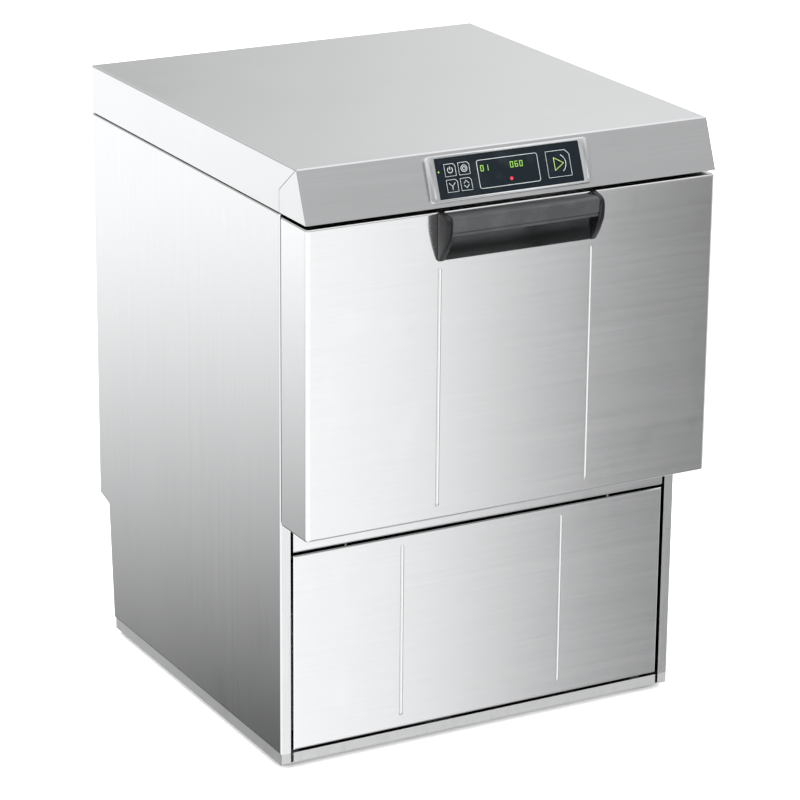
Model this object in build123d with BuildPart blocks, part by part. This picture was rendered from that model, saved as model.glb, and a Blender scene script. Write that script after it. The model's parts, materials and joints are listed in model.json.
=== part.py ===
from build123d import *
import os

os.makedirs("parts", exist_ok=True)

# Under-counter, front-loading commercial dishwasher. Millimetres, +Z up, the door faces -Y.
# Origin: middle of the footprint, on the floor.

# --- Overall sizes ---
width = 600.0  # over the side panels, the cover and the door
height = 826.0  # floor to the top of the cover
body_depth = 650.0  # front of the door to the back edge
handle_reach = 26.0  # the grip stands this far in front of the door

# --- Sheet metal ---
sheet = 1.0  # panels and skins
cover_sheet = 1.2
chamber_sheet = 1.2
frame_sheet = 2.0
frame_rise = 1.0
bend = 2.5  # outer radius of a folded edge
gap = 0.3  # air between pieces that must not touch

# --- Cover and control unit ---
cover_height = 65.5
fascia_setback = 26.0  # the fascia leans back by this much over its height
cover_gap = 5.0  # door to cover
panel_joint = 2.0  # side panel to cover
seam_width = 0.8
seam_depth = 0.6
seam_drop = 36.0  # the seam turns upright this far under the top
cover_lip = 14.0
bezel_x = -6.0
bezel_width = 238.0
bezel_margin = 5.25  # bezel to the fascia's upper and lower edges
bezel_side = 14.0
bezel_edge = 4.0
bezel_rise = 4.0
bezel_corner = 6.0
bezel_chamfer = 1.2
board_margin = 4.0
switch_radius = 4.0
display_size = (80.0, 32.0)
window_rise = 2.6
window_sheet = 3.0
key_size = 18.0
key_pitch = 20.0
key_block_x = -74.5  # middle of the block of four keys, from the bezel's middle
start_key_x = 72.0
start_key_width = 36.5
start_key_height = 36.0
key_clearance = 0.2
key_proud = 0.3
key_depth = 4.5
key_travel = 0.6
board_depth = 9.0  # fascia face to the board's face
board_sheet = 1.6

# --- Front levels ---
base_lift = 6.0  # floor to the base tray
base_height = 16.0
panel_lift = 3.0  # base tray to service panel
service_panel_height = 274.0
slot_gap = 3.5  # service panel to sill
sill_height = 38.5
door_gap = 4.0  # sill to door
flange_width = 15.0  # front return of a side panel
panel_gap = 4.0  # side panel to service panel
panel_depth = 20.0
rib_width = 5.5
rib_depth = 2.0
rib_softness = 0.9  # rounding of the groove's floor, as a share of its depth
rib_tolerance = 0.01
door_rib_x = 111.0
door_rib_low = 17.5  # rib end above the door's lower edge
door_rib_high = 73.5  # rib end below the door's upper edge
panel_rib_x = 121.0
panel_rib_low = 17.5
panel_rib_high = 13.0

# --- Side and rear ---
rear_step_z = 200.0  # the full-depth side ends here
rear_chamfer = 8.0
rear_setback_top = 30.0
rear_setback_foot = 42.0
rear_panel_inset = 3.0
base_inset = 1.5
side_space = 40.0  # outer face of the side panel to the chamber's inside
rear_space = 54.0  # back edge to the chamber's inside

# --- Door ---
door_thickness = 68.0
gasket_gap = 5.0
door_side_radius = 6.0
door_edge_radius = 3.0
pocket_half = 107.0  # finger recess
pocket_depth = 38.0
pocket_height = 56.0
pocket_roof = 8.0  # door skin above the recess
pocket_wall = 34.0  # upright back wall of the recess
fin_thickness = 8.0
fin_height = 65.0
grip_height = 27.0
grip_depth = 25.0
grip_drop = 2.0  # door's upper edge to the grip
grip_edge = 3.5
grip_inset = 1.0  # grip behind the tips of its ends
fin_rise = 1.0  # ends above the door's upper edge
fin_edge = 1.2
gasket_width = 12.0
gasket_overlap = 12.0  # gasket outside the chamber's wall
gasket_rise = 2.0
gasket_drop = 3.0
opening_margin = 3.0  # chamber opening to the gasket
hinge_inset = 18.0  # pivot in front of the door's inner face
hinge_rise = 12.0  # pivot above the door's lower edge
pin_radius = 4.0
pin_clearance = 0.05
bracket_inset = 19.0  # side of the door to the middle of a hinge bracket
bracket_sheet = 4.0
bracket_foot = 20.0
hinge_plate_inset = 12.0
hinge_plate_sheet = 4.0
hinge_plate_height = 84.0
hinge_flange = 20.0
hinge_flange_sheet = 3.0
hinge_flange_rise = 8.0
notch_clearance = 1.0
spring_radius = 8.0
spring_wire = 1.6
spring_pitch = 4.0
spring_length = 28.0
spring_clearance = 8.0
arm_radius = 8.0  # eye of a hinge bracket
frame_notch = 12.0
emboss = 2.5
emboss_margin = 12.0

# --- Chamber ---
roof_drop = 12.5  # cover's lower edge to the chamber roof
sump_depth = 120.0
sump_top_half = 200.0
sump_floor_half = 110.0
sump_top_length = 340.0
sump_floor_length = 170.0
rail_level = 16.0  # rack seat above the opening's lower edge
rail_reach = 24.0
rail_upstand = 32.0
rail_sheet = 1.5
rail_seat = 2.0
rail_clearance = 5.0
stud_inset = 40.0
stud_size = 12.0
stud_rise = 8.0
rack_side_clearance = 2.0
rack = 500.0

# --- Wash system ---
arm_clearance = 20.0  # arm tip to the nearest chamber wall
hub_radius = 20.0
spindle_radius = 8.0
wash_arm_width = 34.0
wash_arm_height = 14.0
rinse_arm_radius = 4.0
roof_arm_drop = 20.0  # extra room above the upper arms for their feed
cap_height = 4.0
cap_share = 1.6  # hub cap, in spindle radii
nozzle_count = 5
nozzle_radius = 4.0
nozzle_bore = 1.8
nozzle_depth = 3.0
hub_flange = 3.0
wash_arm_level = 14.0  # arm's underside above the chamber floor
arm_gap = 3.0
strainer_sheet = 1.5
strainer_overlap = 8.0
slot_size = (5.0, 28.0)
slot_pitch = (12.0, 36.0)
slot_grid = (13, 9)
overflow_x = -70.0
overflow_forward = 45.0  # overflow pipe in front of the sump's middle
overflow_radius = 16.0
overflow_wall = 2.0
overflow_rise = 6.0
overflow_knob = 5.0
filter_x = 70.0
filter_forward = 20.0
filter_radius = 26.0
filter_height = 70.0
filter_wall = 1.5
filter_slot = (8.0, 4.0, 50.0)
filter_slots = 16
tank_element_rise = 26.0
tank_element_half = 90.0
tank_element_near = 42.0
tank_element_far = 72.0
tank_element_rod = 4.0
tank_element_bend = 12.0
element_flange = (4.0, 10.0, 12.0)  # thickness, and margins along Y and Z
pump_x = -140.0
pump_z = 100.0
pump_back = 40.0  # sump's middle to the front of the volute
volute_radius = 60.0
volute_length = 50.0
motor_radius = 50.0
motor_length = 140.0
motor_fin = (6.0, 2.5)
motor_fins = 24
motor_fin_margin = 15.0
motor_foot_half = 34.0
motor_foot_margin = 20.0
foot_overlap = 6.0
outlet_neck = 8.0
neck_wall = 2.0
rotor_clearance = 3.0
rotor_back_clearance = 8.0
impeller_plate = 4.0
impeller_margin = 5.0
impeller_vane = (16.0, 3.0, 20.0)
impeller_vanes = 6
casing_wall = 5.0
shaft_radius = 6.0
pipe_radius = 14.0
pipe_wall = 2.0
feed_radius = 12.0
feed_rise = 16.0  # pump outlet to the branch that feeds the lower arm
suction_x = -85.0
suction_forward = 60.0
riser_clearance = 12.0
pipe_bends = (25.0, 40.0, 40.0, 25.0)
suction_bends = (20.0, 24.0)
feed_bends = (25.0, 20.0)
drain_pump_x = 60.0
drain_pump_z = 62.0
drain_radius = 32.0
drain_front = 190.0  # in front of the sump's middle
drain_volute = 40.0
drain_casing = 4.0
drain_motor_length = 70.0
drain_motor_step = 6.0
drain_rotor_length = 60.0
drain_rotor_radius = 12.0
drain_inlet_radius = 11.0
drain_foot_half = 20.0
drain_vane = (22.0, 3.0, 18.0)
drain_vanes = 4
drain_vane_back = 17.0
drain_hub_radius = 5.0
boiler_x = 188.0
boiler_z = 112.0
boiler_radius = 72.0
boiler_length = 260.0
boiler_edge = 12.0
boiler_wall = 2.0
boiler_jacket = 14.0  # insulated wall
boiler_mouth = 30.0
boiler_feet = (40.0, -60.0)
boiler_foot = (40.0, 20.0)
boiler_flange_radius = 38.0
boiler_flange = 6.0
boiler_rod = 5.0
boiler_rod_half = 14.0
boiler_rod_end = 40.0
terminal_radius = 2.5
terminal_length = 14.0
rod_bridge = (38.0, 10.0, 10.0)
dose_x = -40.0
dose_z = 90.0
dose_front = 40.0
dose_depth = 40.0
dose_half = 34.0
dose_radius = 26.0
dose_rim = 2.0
dose_bore = 26.0
dose_motor = (22.0, 50.0)  # radius and length
dose_foot_half = 20.0
dose_shaft = 9.0
dose_roller = (6.5, 20.0, 17.0)  # radius, length and distance from the shaft
dose_arm = (16.0, 6.0, 20.0)
dose_arm_out = 10.0
dose_rollers = 3
box_width = 68.0
box_front = 28.0
box_length = 162.0
box_rise = 34.0
box_height = 166.0
box_wall = 1.5
box_leg = (22.0, 10.0, 20.0)
box_leg_places = (50.0, -30.0)
module_size = (12.0, 80.0, 36.0)  # side margin, depth and height
module_first = 30.0
module_pitch = 44.0
modules = 3
inlet_x = 236.0
inlet_z = 70.0
inlet_inside = 24.0
inlet_flange = (4.0, 5.0)
inlet_bore = 8.0
thread_radius = 13.2
valve_half = 20.0
valve_top = 16.0
valve_length = 60.0
valve_bore = 7.0
coil_radius = 16.0
coil_top = 60.0
coil_place = 30.0
outlet_x = 120.0
outlet_z = 58.0
outlet_inside = 20.0
outlet_flange = (6.0, 3.0)
spigot_radius = 14.0
spigot_wall = 2.5
gland_x = -220.0
gland_z = 90.0
gland_radius = 10.0
gland_inside = 14.0
gland_outside = 20.0
gland_hexagon = (15.0, 7.0)
gland_cap = (13.0, 9.0, 22.0)
cable_radius = 6.5
connector_clearance = 8.0  # ends of the rear connections to the back edge
foot_radius = 20.0
foot_inset = 34.0
stem_radius = 5.0
stem_length = 26.0
pad_chamfer = 1.5
boss_share = 2.0  # foot boss, in stem radii
screw_radius = 2.0
screw_x = 200.0
screw_head = 3.0

# --- Places that follow from the sizes ---
half = width / 2
back_y = (body_depth + handle_reach) / 2
door_y = handle_reach - back_y
door_back_y = door_y + door_thickness
body_y = door_back_y + gasket_gap
cover_z = height - cover_height
base_top = base_lift + base_height
panel_z = base_top + panel_lift
panel_top = panel_z + service_panel_height
sill_z = panel_top + slot_gap
sill_top = sill_z + sill_height
door_z = sill_top + door_gap
door_top = cover_z - cover_gap
panel_half = half - flange_width - panel_gap
fascia_top_y = door_y + fascia_setback
bezel_height = (cover_height**2 + fascia_setback**2) ** 0.5 - 2 * bezel_margin
hinge_y = door_back_y - hinge_inset
hinge_z = door_z + hinge_rise
bracket_x = half - bracket_inset
hinge_plate_x = half - hinge_plate_inset
gasket_half = half - side_space + gasket_overlap
gasket_z = hinge_z + gasket_rise
gasket_top = door_top - gasket_drop
opening_half = gasket_half - gasket_width - opening_margin
opening_z = gasket_z + gasket_width + opening_margin
opening_top = gasket_top - gasket_width - opening_margin
chamber_half = half - side_space
chamber_y = body_y + frame_sheet
chamber_back = back_y - rear_space
chamber_z = door_z
chamber_top = cover_z - roof_drop
sump_mid = (chamber_y + chamber_back) / 2
arm_middle = (0, sump_mid)
sump_z = chamber_z - sump_depth
rail_z = opening_z + rail_level
arm_reach = min(chamber_half, (chamber_back - chamber_y) / 2) - arm_clearance
rear_lower_y = back_y - rear_setback_foot - rear_panel_inset

fascia = Plane(
    origin=(bezel_x, (door_y + fascia_top_y) / 2, height - cover_height / 2),
    x_dir=(1, 0, 0),
    z_dir=(0, -cover_height, fascia_setback),
)
pieces = {}


def block(x, y, z, mode=Mode.ADD):
    """Add or cut a box between the two limits given for each axis."""
    with Locations(((x[0] + x[1]) / 2, (y[0] + y[1]) / 2, (z[0] + z[1]) / 2)):
        Box(x[1] - x[0], y[1] - y[0], z[1] - z[0], mode=mode)


def rod(centre, y, radius, mode=Mode.ADD):
    """Add or cut a round bar along Y about (x, z), between two y limits."""
    with Locations(Location((centre[0], (y[0] + y[1]) / 2, centre[1]), (90, 0, 0))):
        Cylinder(radius, y[1] - y[0], mode=mode)


def post(centre, z, radius, mode=Mode.ADD):
    """Add or cut a round bar along Z about (x, y), between two z limits."""
    with Locations((centre[0], centre[1], (z[0] + z[1]) / 2)):
        Cylinder(radius, z[1] - z[0], mode=mode)


def pin(x, radius, mode=Mode.ADD):
    """Add or cut a round bar along X on the hinge line, between two x limits."""
    with Locations(Location(((x[0] + x[1]) / 2, hinge_y, hinge_z), (0, 90, 0))):
        Cylinder(radius, x[1] - x[0], mode=mode)


def pipe(points, radii, outer, wall):
    """Add a bent pipe through the points."""
    with BuildLine() as route:
        FilletPolyline(*points, radius=radii)
    start = Plane(origin=route.line @ 0, z_dir=route.line % 0)
    with BuildSketch(start) as section:
        Circle(outer)
        Circle(outer - wall, mode=Mode.SUBTRACT)
    sweep(section.sketch, path=route.line)


# --- Cabinet panels ---
with BuildPart() as top_cover:
    with BuildSketch(Plane.YZ):
        with BuildLine():
            Polyline(
                (fascia_top_y, height), (back_y, height), (back_y, cover_z), (door_y, cover_z), close=True
            )
        make_face()
    extrude(amount=half, both=True)
    fillet(top_cover.edges().filter_by(lambda edge: edge.center().Z > cover_z + gap), radius=bend)
    offset(amount=-cover_sheet, openings=top_cover.faces().sort_by(Axis.Z)[0])
    lip_y = door_y + cover_sheet * 2
    lip_half = half - cover_sheet
    block((-lip_half, lip_half), (lip_y, lip_y + cover_lip), (cover_z, cover_z + cover_sheet))
    for side in (-1, 1):
        with BuildSketch(Plane.YZ.offset(side * half)):
            with BuildLine():
                Polyline((fascia_top_y, height), (body_y, height - seam_drop), (body_y, cover_z))
            trace(line_width=seam_width)
        extrude(amount=-side * seam_depth, mode=Mode.SUBTRACT)
    with BuildSketch(fascia):
        Rectangle(bezel_width - 2 * bezel_side, bezel_height - 2 * bezel_edge)
    extrude(amount=cover_sheet * 2, both=True, mode=Mode.SUBTRACT)
pieces["top_cover"] = top_cover


def side_panel(side):
    """One side: a pan whose edges are all folded inwards, stepped at the lower rear."""
    top = cover_z - panel_joint
    outline = (
        (body_y, base_top),
        (body_y, top),
        (back_y, top),
        (back_y, rear_step_z),
        (back_y - rear_setback_top, rear_step_z - rear_chamfer),
        (back_y - rear_setback_foot, base_top),
    )
    with BuildPart() as panel:
        with BuildSketch(Plane.YZ.offset(side * half)):
            with BuildLine():
                Polyline(*outline, close=True)
            make_face()
        extrude(amount=-side * flange_width)
        outer = panel.edges().filter_by(lambda edge: abs(edge.center().X) > half - gap)
        fillet(outer, radius=bend)
        with BuildSketch(Plane.YZ.offset(side * (half - sheet))):
            with BuildLine():
                Polyline(*outline, close=True)
            make_face()
            offset(amount=-sheet, kind=Kind.INTERSECTION, mode=Mode.REPLACE)
        extrude(amount=-side * flange_width, mode=Mode.SUBTRACT)
    return panel


pieces["side_panel_left"] = side_panel(-1)
pieces["side_panel_right"] = side_panel(1)

rear_half = half - flange_width - gap
with BuildPart() as rear_panel_upper:
    block((-rear_half, rear_half), (back_y - sheet, back_y), (rear_step_z, cover_z - panel_joint))
    block((-rear_half, rear_half), (rear_lower_y, back_y - sheet), (rear_step_z, rear_step_z + sheet))
pieces["rear_panel_upper"] = rear_panel_upper

with BuildPart() as rear_panel_lower:
    block((-rear_half, rear_half), (rear_lower_y - sheet, rear_lower_y), (base_top, rear_step_z - gap))
    for x, z, radius in (
        (inlet_x, inlet_z, thread_radius),
        (outlet_x, outlet_z, spigot_radius),
        (gland_x, gland_z, gland_radius),
    ):
        rod((x, z), (rear_lower_y - sheet, rear_lower_y), radius + gap, Mode.SUBTRACT)
pieces["rear_panel_lower"] = rear_panel_lower

foot_places = [
    (x, y)
    for x in (foot_inset - half, half - foot_inset)
    for y in (body_y + foot_inset, rear_lower_y - foot_inset)
]
tray_floor = base_lift + sheet
with BuildPart() as base_tray:
    block((base_inset - half, half - base_inset), (body_y, rear_lower_y), (base_lift, base_top))
    low_front = base_tray.edges().filter_by(Axis.X).group_by(Axis.Z)[0].sort_by(Axis.Y)[0]
    fillet(low_front, radius=door_edge_radius)
    offset(amount=-sheet, openings=base_tray.faces().sort_by(Axis.Z)[-1])
    for side in (-1, 1):
        slot_mid = side * (panel_half + panel_gap / 2)
        slot = (slot_mid - panel_gap / 2, slot_mid + panel_gap / 2)
        block(slot, (body_y, body_y + sheet), (base_lift + door_edge_radius, base_top), Mode.SUBTRACT)
    for place in foot_places:
        post(place, (tray_floor, base_top - gap), stem_radius * boss_share)
        post(place, (base_lift, base_top), stem_radius + pin_clearance, Mode.SUBTRACT)
pieces["base_tray"] = base_tray

for place in foot_places:
    with BuildPart() as foot:
        post(place, (0, base_lift - gap), foot_radius)
        rim = foot.edges().filter_by(GeomType.CIRCLE).sort_by(Axis.Z)
        chamfer(rim[-1], length=pad_chamfer)
        post(place, (base_lift - gap, base_lift + stem_length), stem_radius)
    end = "front" if place[1] < 0 else "rear"
    hand = "left" if place[0] < 0 else "right"
    pieces[f"foot_{end}_{hand}"] = foot

with BuildPart() as door_sill:
    block((-panel_half, panel_half), (body_y, body_y + panel_depth), (sill_z, sill_top))
    front = door_sill.faces().sort_by(Axis.Y)[0]
    fillet(front.edges().filter_by(Axis.X), radius=bend)
    offset(amount=-sheet, openings=door_sill.faces().sort_by(Axis.Y)[-1])
pieces["door_sill"] = door_sill


def ribs(skin, rib_x, low, high, face_y):
    """Press two upright grooves into the skin being built, whose outer face is at face_y."""
    middle = (low + high) / 2
    for x in (-rib_x, rib_x):
        back = Plane(origin=(x, face_y + sheet, middle), x_dir=(0, 0, 1), z_dir=(0, 1, 0))
        with BuildSketch(back) as bulge:
            SlotOverall(high - low + 2 * sheet, rib_width + 2 * sheet)
        extrude(bulge.sketch, amount=rib_depth)
    for x in (-rib_x, rib_x):
        front = Plane(origin=(x, face_y, middle), x_dir=(0, 0, 1), z_dir=(0, 1, 0))
        with BuildSketch(front) as groove:
            SlotOverall(high - low, rib_width)
        extrude(groove.sketch, amount=rib_depth, mode=Mode.SUBTRACT)
    floor_y = face_y + rib_depth
    upright = skin.faces().filter_by(Axis.Y)
    floors = upright.filter_by(lambda face: abs(face.center().Y - floor_y) < rib_tolerance)
    limit = rib_width * (high - low)
    grooves = floors.filter_by(lambda face: low < face.center().Z < high and face.area < limit)
    fillet(grooves.edges(), radius=rib_depth * rib_softness)


with BuildPart() as service_panel:
    block((-panel_half, panel_half), (body_y, body_y + panel_depth), (panel_z, panel_top))
    front = service_panel.faces().sort_by(Axis.Y)[0]
    fillet(front.edges(), radius=bend)
    offset(amount=-sheet, openings=service_panel.faces().sort_by(Axis.Y)[-1])
    ribs(service_panel, panel_rib_x, panel_z + panel_rib_low, panel_top - panel_rib_high, body_y)
    for x in (-screw_x, screw_x):
        place = (x, body_y + panel_depth / 2)
        post(place, (panel_top - sheet, panel_top), screw_radius + gap, Mode.SUBTRACT)
pieces["service_panel"] = service_panel

with BuildPart() as panel_screws:
    for x in (-screw_x, screw_x):
        place = (x, body_y + panel_depth / 2)
        post(place, (panel_top - sheet - screw_head, panel_top - sheet), screw_radius * 2)
        post(place, (panel_top - sheet, sill_z), screw_radius)
pieces["panel_screws"] = panel_screws

# --- Wash chamber ---
with BuildPart() as wash_chamber:
    wall = chamber_sheet
    outer_x = (-chamber_half - wall, chamber_half + wall)
    block(outer_x, (chamber_y, chamber_back + wall), (chamber_z - wall, chamber_top + wall))
    with BuildSketch(Plane(origin=(0, sump_mid, chamber_z - wall))):
        Rectangle(2 * (sump_top_half + wall), sump_top_length + 2 * wall)
    with BuildSketch(Plane(origin=(0, sump_mid, sump_z - wall))):
        Rectangle(2 * (sump_floor_half + wall), sump_floor_length + 2 * wall)
    loft()
    block((-chamber_half, chamber_half), (chamber_y, chamber_back), (chamber_z, chamber_top), Mode.SUBTRACT)
    with BuildSketch(Plane(origin=(0, sump_mid, chamber_z))):
        Rectangle(2 * sump_top_half, sump_top_length)
    with BuildSketch(Plane(origin=(0, sump_mid, sump_z))):
        Rectangle(2 * sump_floor_half, sump_floor_length)
    loft(mode=Mode.SUBTRACT)
pieces["wash_chamber"] = wash_chamber

with BuildPart() as chamber_frame:
    edge = half - flange_width - gap
    block((-edge, edge), (body_y, chamber_y), (sill_top + gap, door_top + frame_rise))
    block((-opening_half, opening_half), (body_y, chamber_y), (opening_z, opening_top), Mode.SUBTRACT)
    for side in (-1, 1):
        x = side * bracket_x
        reach = bracket_sheet / 2 + gap
        notch = (hinge_z - frame_notch, hinge_z + frame_notch)
        block((x - reach, x + reach), (body_y, chamber_y), notch, Mode.SUBTRACT)
pieces["chamber_frame"] = chamber_frame


def rack_rail(side):
    """An angle that carries and guides one edge of the rack, on three stand-off studs."""
    guide = rack / 2 + rack_side_clearance
    with BuildPart() as rail:
        length = (chamber_y + rail_clearance, chamber_back - rail_clearance)
        for low, high, top in (
            (guide, guide + rail_sheet, rail_z + rail_upstand),
            (guide - rail_reach, guide, rail_z),
        ):
            x = sorted((side * low, side * high))
            block(x, length, (rail_z - rail_seat, top))
        for y in (length[0] + stud_inset, sump_mid, length[1] - stud_inset):
            x = sorted((side * (guide + rail_sheet), side * chamber_half))
            stud_z = (rail_z + stud_rise, rail_z + stud_rise + stud_size)
            block(x, (y - stud_size / 2, y + stud_size / 2), stud_z)
    return rail


pieces["rack_rail_left"] = rack_rail(-1)
pieces["rack_rail_right"] = rack_rail(1)

overflow_place = (overflow_x, sump_mid - overflow_forward)
filter_place = (filter_x, sump_mid - filter_forward)
with BuildPart() as tank_strainer:
    reach_y = sump_top_length / 2 + strainer_overlap
    cut_z = (chamber_z - gap, chamber_z + strainer_sheet + gap)
    for side in (-1, 1):
        x = sorted((side * panel_joint / 4, side * (sump_top_half + strainer_overlap)))
        block(x, (sump_mid - reach_y, sump_mid + reach_y), (chamber_z, chamber_z + strainer_sheet))
        plate_mid = side * (sump_top_half + filter_radius) / 2
        with Locations((plate_mid, sump_mid, chamber_z + strainer_sheet / 2)):
            with GridLocations(*slot_pitch, *slot_grid):
                Box(*slot_size, 2 * strainer_sheet, mode=Mode.SUBTRACT)
    post(arm_middle, cut_z, hub_radius + 1, Mode.SUBTRACT)
    post(overflow_place, cut_z, overflow_radius + 1, Mode.SUBTRACT)
pieces["tank_strainer"] = tank_strainer

with BuildPart() as suction_filter:
    top = sump_z + filter_height
    post(filter_place, (sump_z, top), filter_radius)
    post(filter_place, (sump_z + filter_wall, top - filter_wall), filter_radius - filter_wall, Mode.SUBTRACT)
    with Locations((*filter_place, (sump_z + top) / 2)):
        with PolarLocations(filter_radius, filter_slots):
            Box(*filter_slot, mode=Mode.SUBTRACT)
pieces["suction_filter"] = suction_filter

with BuildPart() as overflow_pipe:
    top = chamber_z + overflow_rise
    post(overflow_place, (sump_z + gap, top), overflow_radius)
    post(overflow_place, (sump_z + gap, top - overflow_wall), overflow_radius - overflow_wall, Mode.SUBTRACT)
    post(overflow_place, (top, top + overflow_knob), overflow_radius / 3)
pieces["overflow_pipe"] = overflow_pipe

with BuildPart() as tank_element:
    element_z = sump_z + tank_element_rise
    near = sump_mid + tank_element_near
    far = sump_mid + tank_element_far
    end_x = tank_element_half
    corners = [(x, y, element_z) for x, y in ((end_x, near), (-end_x, near), (-end_x, far), (end_x, far))]
    with BuildLine() as loop:
        FilletPolyline(*corners, radius=tank_element_bend)
    with BuildSketch(Plane(origin=loop.line @ 0, z_dir=loop.line % 0)):
        Circle(tank_element_rod)
    sweep(path=loop.line)
    thick, margin_y, margin_z = element_flange
    flange_z = (element_z - margin_z, element_z + margin_z)
    block((end_x, end_x + thick), (near - margin_y, far + margin_y), flange_z)
pieces["tank_element"] = tank_element

# Levels of the four spray arms
low_wash = (chamber_z + wash_arm_level, chamber_z + wash_arm_level + wash_arm_height)
low_rinse_z = low_wash[1] + arm_gap + rinse_arm_radius
high_wash_top = chamber_top - wash_arm_level - roof_arm_drop
high_wash = (high_wash_top - wash_arm_height, high_wash_top)
high_rinse_z = high_wash[0] - arm_gap - rinse_arm_radius

with BuildPart() as lower_arm_hub:
    cap_z = low_rinse_z + rinse_arm_radius + gap
    post(arm_middle, (sump_z, low_wash[0] - arm_gap / 2), hub_radius)
    post(arm_middle, (low_wash[0] - arm_gap / 2, cap_z), spindle_radius)
    post(arm_middle, (cap_z, cap_z + cap_height), spindle_radius * cap_share)
    post(arm_middle, (sump_z, low_wash[0] - 2 * arm_gap), hub_radius - pipe_wall, Mode.SUBTRACT)
pieces["lower_arm_hub"] = lower_arm_hub

with BuildPart() as upper_arm_hub:
    cap_z = high_rinse_z - rinse_arm_radius - gap
    post(arm_middle, (chamber_top - hub_flange, chamber_top), hub_radius * 2)
    post(arm_middle, (high_wash[1] + arm_gap / 2, chamber_top), hub_radius)
    post(arm_middle, (cap_z, high_wash[1] + arm_gap / 2), spindle_radius)
    post(arm_middle, (cap_z - cap_height, cap_z), spindle_radius * cap_share)
    post(arm_middle, (high_wash[1] + 2 * arm_gap, chamber_top), hub_radius - pipe_wall, Mode.SUBTRACT)
pieces["upper_arm_hub"] = upper_arm_hub


def wash_arm(z, nozzle_side):
    """A flat hollow-section arm, wider at its hub, with nozzles on one face."""
    hub_disc = hub_radius * 1.5
    with BuildPart() as arm:
        with BuildSketch(Plane.XY.offset(z[0])):
            with Locations(arm_middle):
                SlotOverall(2 * arm_reach, wash_arm_width)
                Circle(hub_disc)
        extrude(amount=z[1] - z[0])
        fillet(arm.edges().filter_by(Axis.Z, reverse=True), radius=nozzle_radius)
        face_z = z[1] if nozzle_side > 0 else z[0]
        rim_z = sorted((face_z - nozzle_side, face_z + nozzle_side))
        bore_z = sorted((face_z - nozzle_depth * nozzle_side, face_z + nozzle_depth * nozzle_side))
        for step in range(1, nozzle_count + 1):
            x = hub_disc + step * (arm_reach - 2 * hub_radius) / (nozzle_count + 1)
            for hand in (-1, 1):
                post((hand * x, sump_mid), rim_z, nozzle_radius)
                post((hand * x, sump_mid), bore_z, nozzle_bore, Mode.SUBTRACT)
        post(arm_middle, (z[0], z[1]), spindle_radius + pin_clearance, Mode.SUBTRACT)
    return arm


def rinse_arm(z):
    """A thin tube with a small hub, set across the wash arm."""
    boss_z = (z - rinse_arm_radius, z + rinse_arm_radius)
    with BuildPart() as arm:
        post(arm_middle, boss_z, spindle_radius * 1.8)
        rod((0, z), (sump_mid - arm_reach, sump_mid + arm_reach), rinse_arm_radius)
        post(arm_middle, boss_z, spindle_radius + pin_clearance, Mode.SUBTRACT)
    return arm


pieces["lower_wash_arm"] = wash_arm(low_wash, 1)
pieces["upper_wash_arm"] = wash_arm(high_wash, -1)
pieces["lower_rinse_arm"] = rinse_arm(low_rinse_z)
pieces["upper_rinse_arm"] = rinse_arm(high_rinse_z)

# --- Machine space ---
pump_axis = (pump_x, pump_z)
volute_y = (sump_mid + pump_back, sump_mid + pump_back + volute_length)
volute_inside = (volute_y[0] + casing_wall, volute_y[1] - casing_wall)
motor_y = (volute_y[1], volute_y[1] + motor_length)
outlet_y = (volute_y[0] + volute_y[1]) / 2
outlet_top = pump_z + volute_radius + outlet_neck
with BuildPart() as wash_pump_housing:
    rod(pump_axis, volute_y, volute_radius)
    post((pump_x, outlet_y), (pump_z, outlet_top), pipe_radius + neck_wall)
    rod(pump_axis, volute_inside, volute_radius - casing_wall, Mode.SUBTRACT)
    rod(pump_axis, (volute_y[0], volute_inside[0]), pipe_radius, Mode.SUBTRACT)
    rod(pump_axis, (volute_inside[1], volute_y[1]), shaft_radius + pin_clearance, Mode.SUBTRACT)
    post((pump_x, outlet_y), (pump_z, outlet_top), pipe_radius - pipe_wall, Mode.SUBTRACT)
pieces["wash_pump_housing"] = wash_pump_housing

with BuildPart() as wash_pump_motor:
    rod(pump_axis, motor_y, motor_radius)
    with Locations(Location((pump_x, (motor_y[0] + motor_y[1]) / 2, pump_z), (90, 0, 0))):
        with PolarLocations(motor_radius, motor_fins):
            Box(*motor_fin, motor_length - 2 * motor_fin_margin)
    foot_x = (pump_x - motor_foot_half, pump_x + motor_foot_half)
    foot_y = (motor_y[0] + motor_foot_margin, motor_y[1] - motor_foot_margin)
    block(foot_x, foot_y, (tray_floor, pump_z - motor_radius + foot_overlap))
    rotor_space = (motor_y[0] + casing_wall, motor_y[1] - casing_wall)
    rod(pump_axis, rotor_space, motor_radius / 2 + gap, Mode.SUBTRACT)
    rod(pump_axis, (motor_y[0], motor_y[0] + casing_wall), shaft_radius + pin_clearance, Mode.SUBTRACT)
pieces["wash_pump_motor"] = wash_pump_motor

with BuildPart() as wash_pump_rotor:
    wide, thin, deep = impeller_vane
    plate_y = volute_inside[1] - rotor_back_clearance
    shaft_end = motor_y[1] - casing_wall - rotor_clearance
    rod(pump_axis, (volute_inside[0] + rotor_clearance, shaft_end), shaft_radius)
    armature_end = motor_y[1] - casing_wall - rotor_back_clearance
    armature_y = (motor_y[0] + casing_wall + rotor_clearance, armature_end)
    rod(pump_axis, armature_y, motor_radius / 2 - gap)
    plate_radius = volute_radius - casing_wall - impeller_margin
    rod(pump_axis, (plate_y - impeller_plate, plate_y), plate_radius)
    with Locations(Location((pump_x, plate_y - impeller_plate - deep / 2, pump_z), (90, 0, 0))):
        with PolarLocations((volute_radius - casing_wall) / 2, impeller_vanes):
            Box(volute_radius - casing_wall - wide, thin, deep)
pieces["wash_pump_rotor"] = wash_pump_rotor

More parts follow.
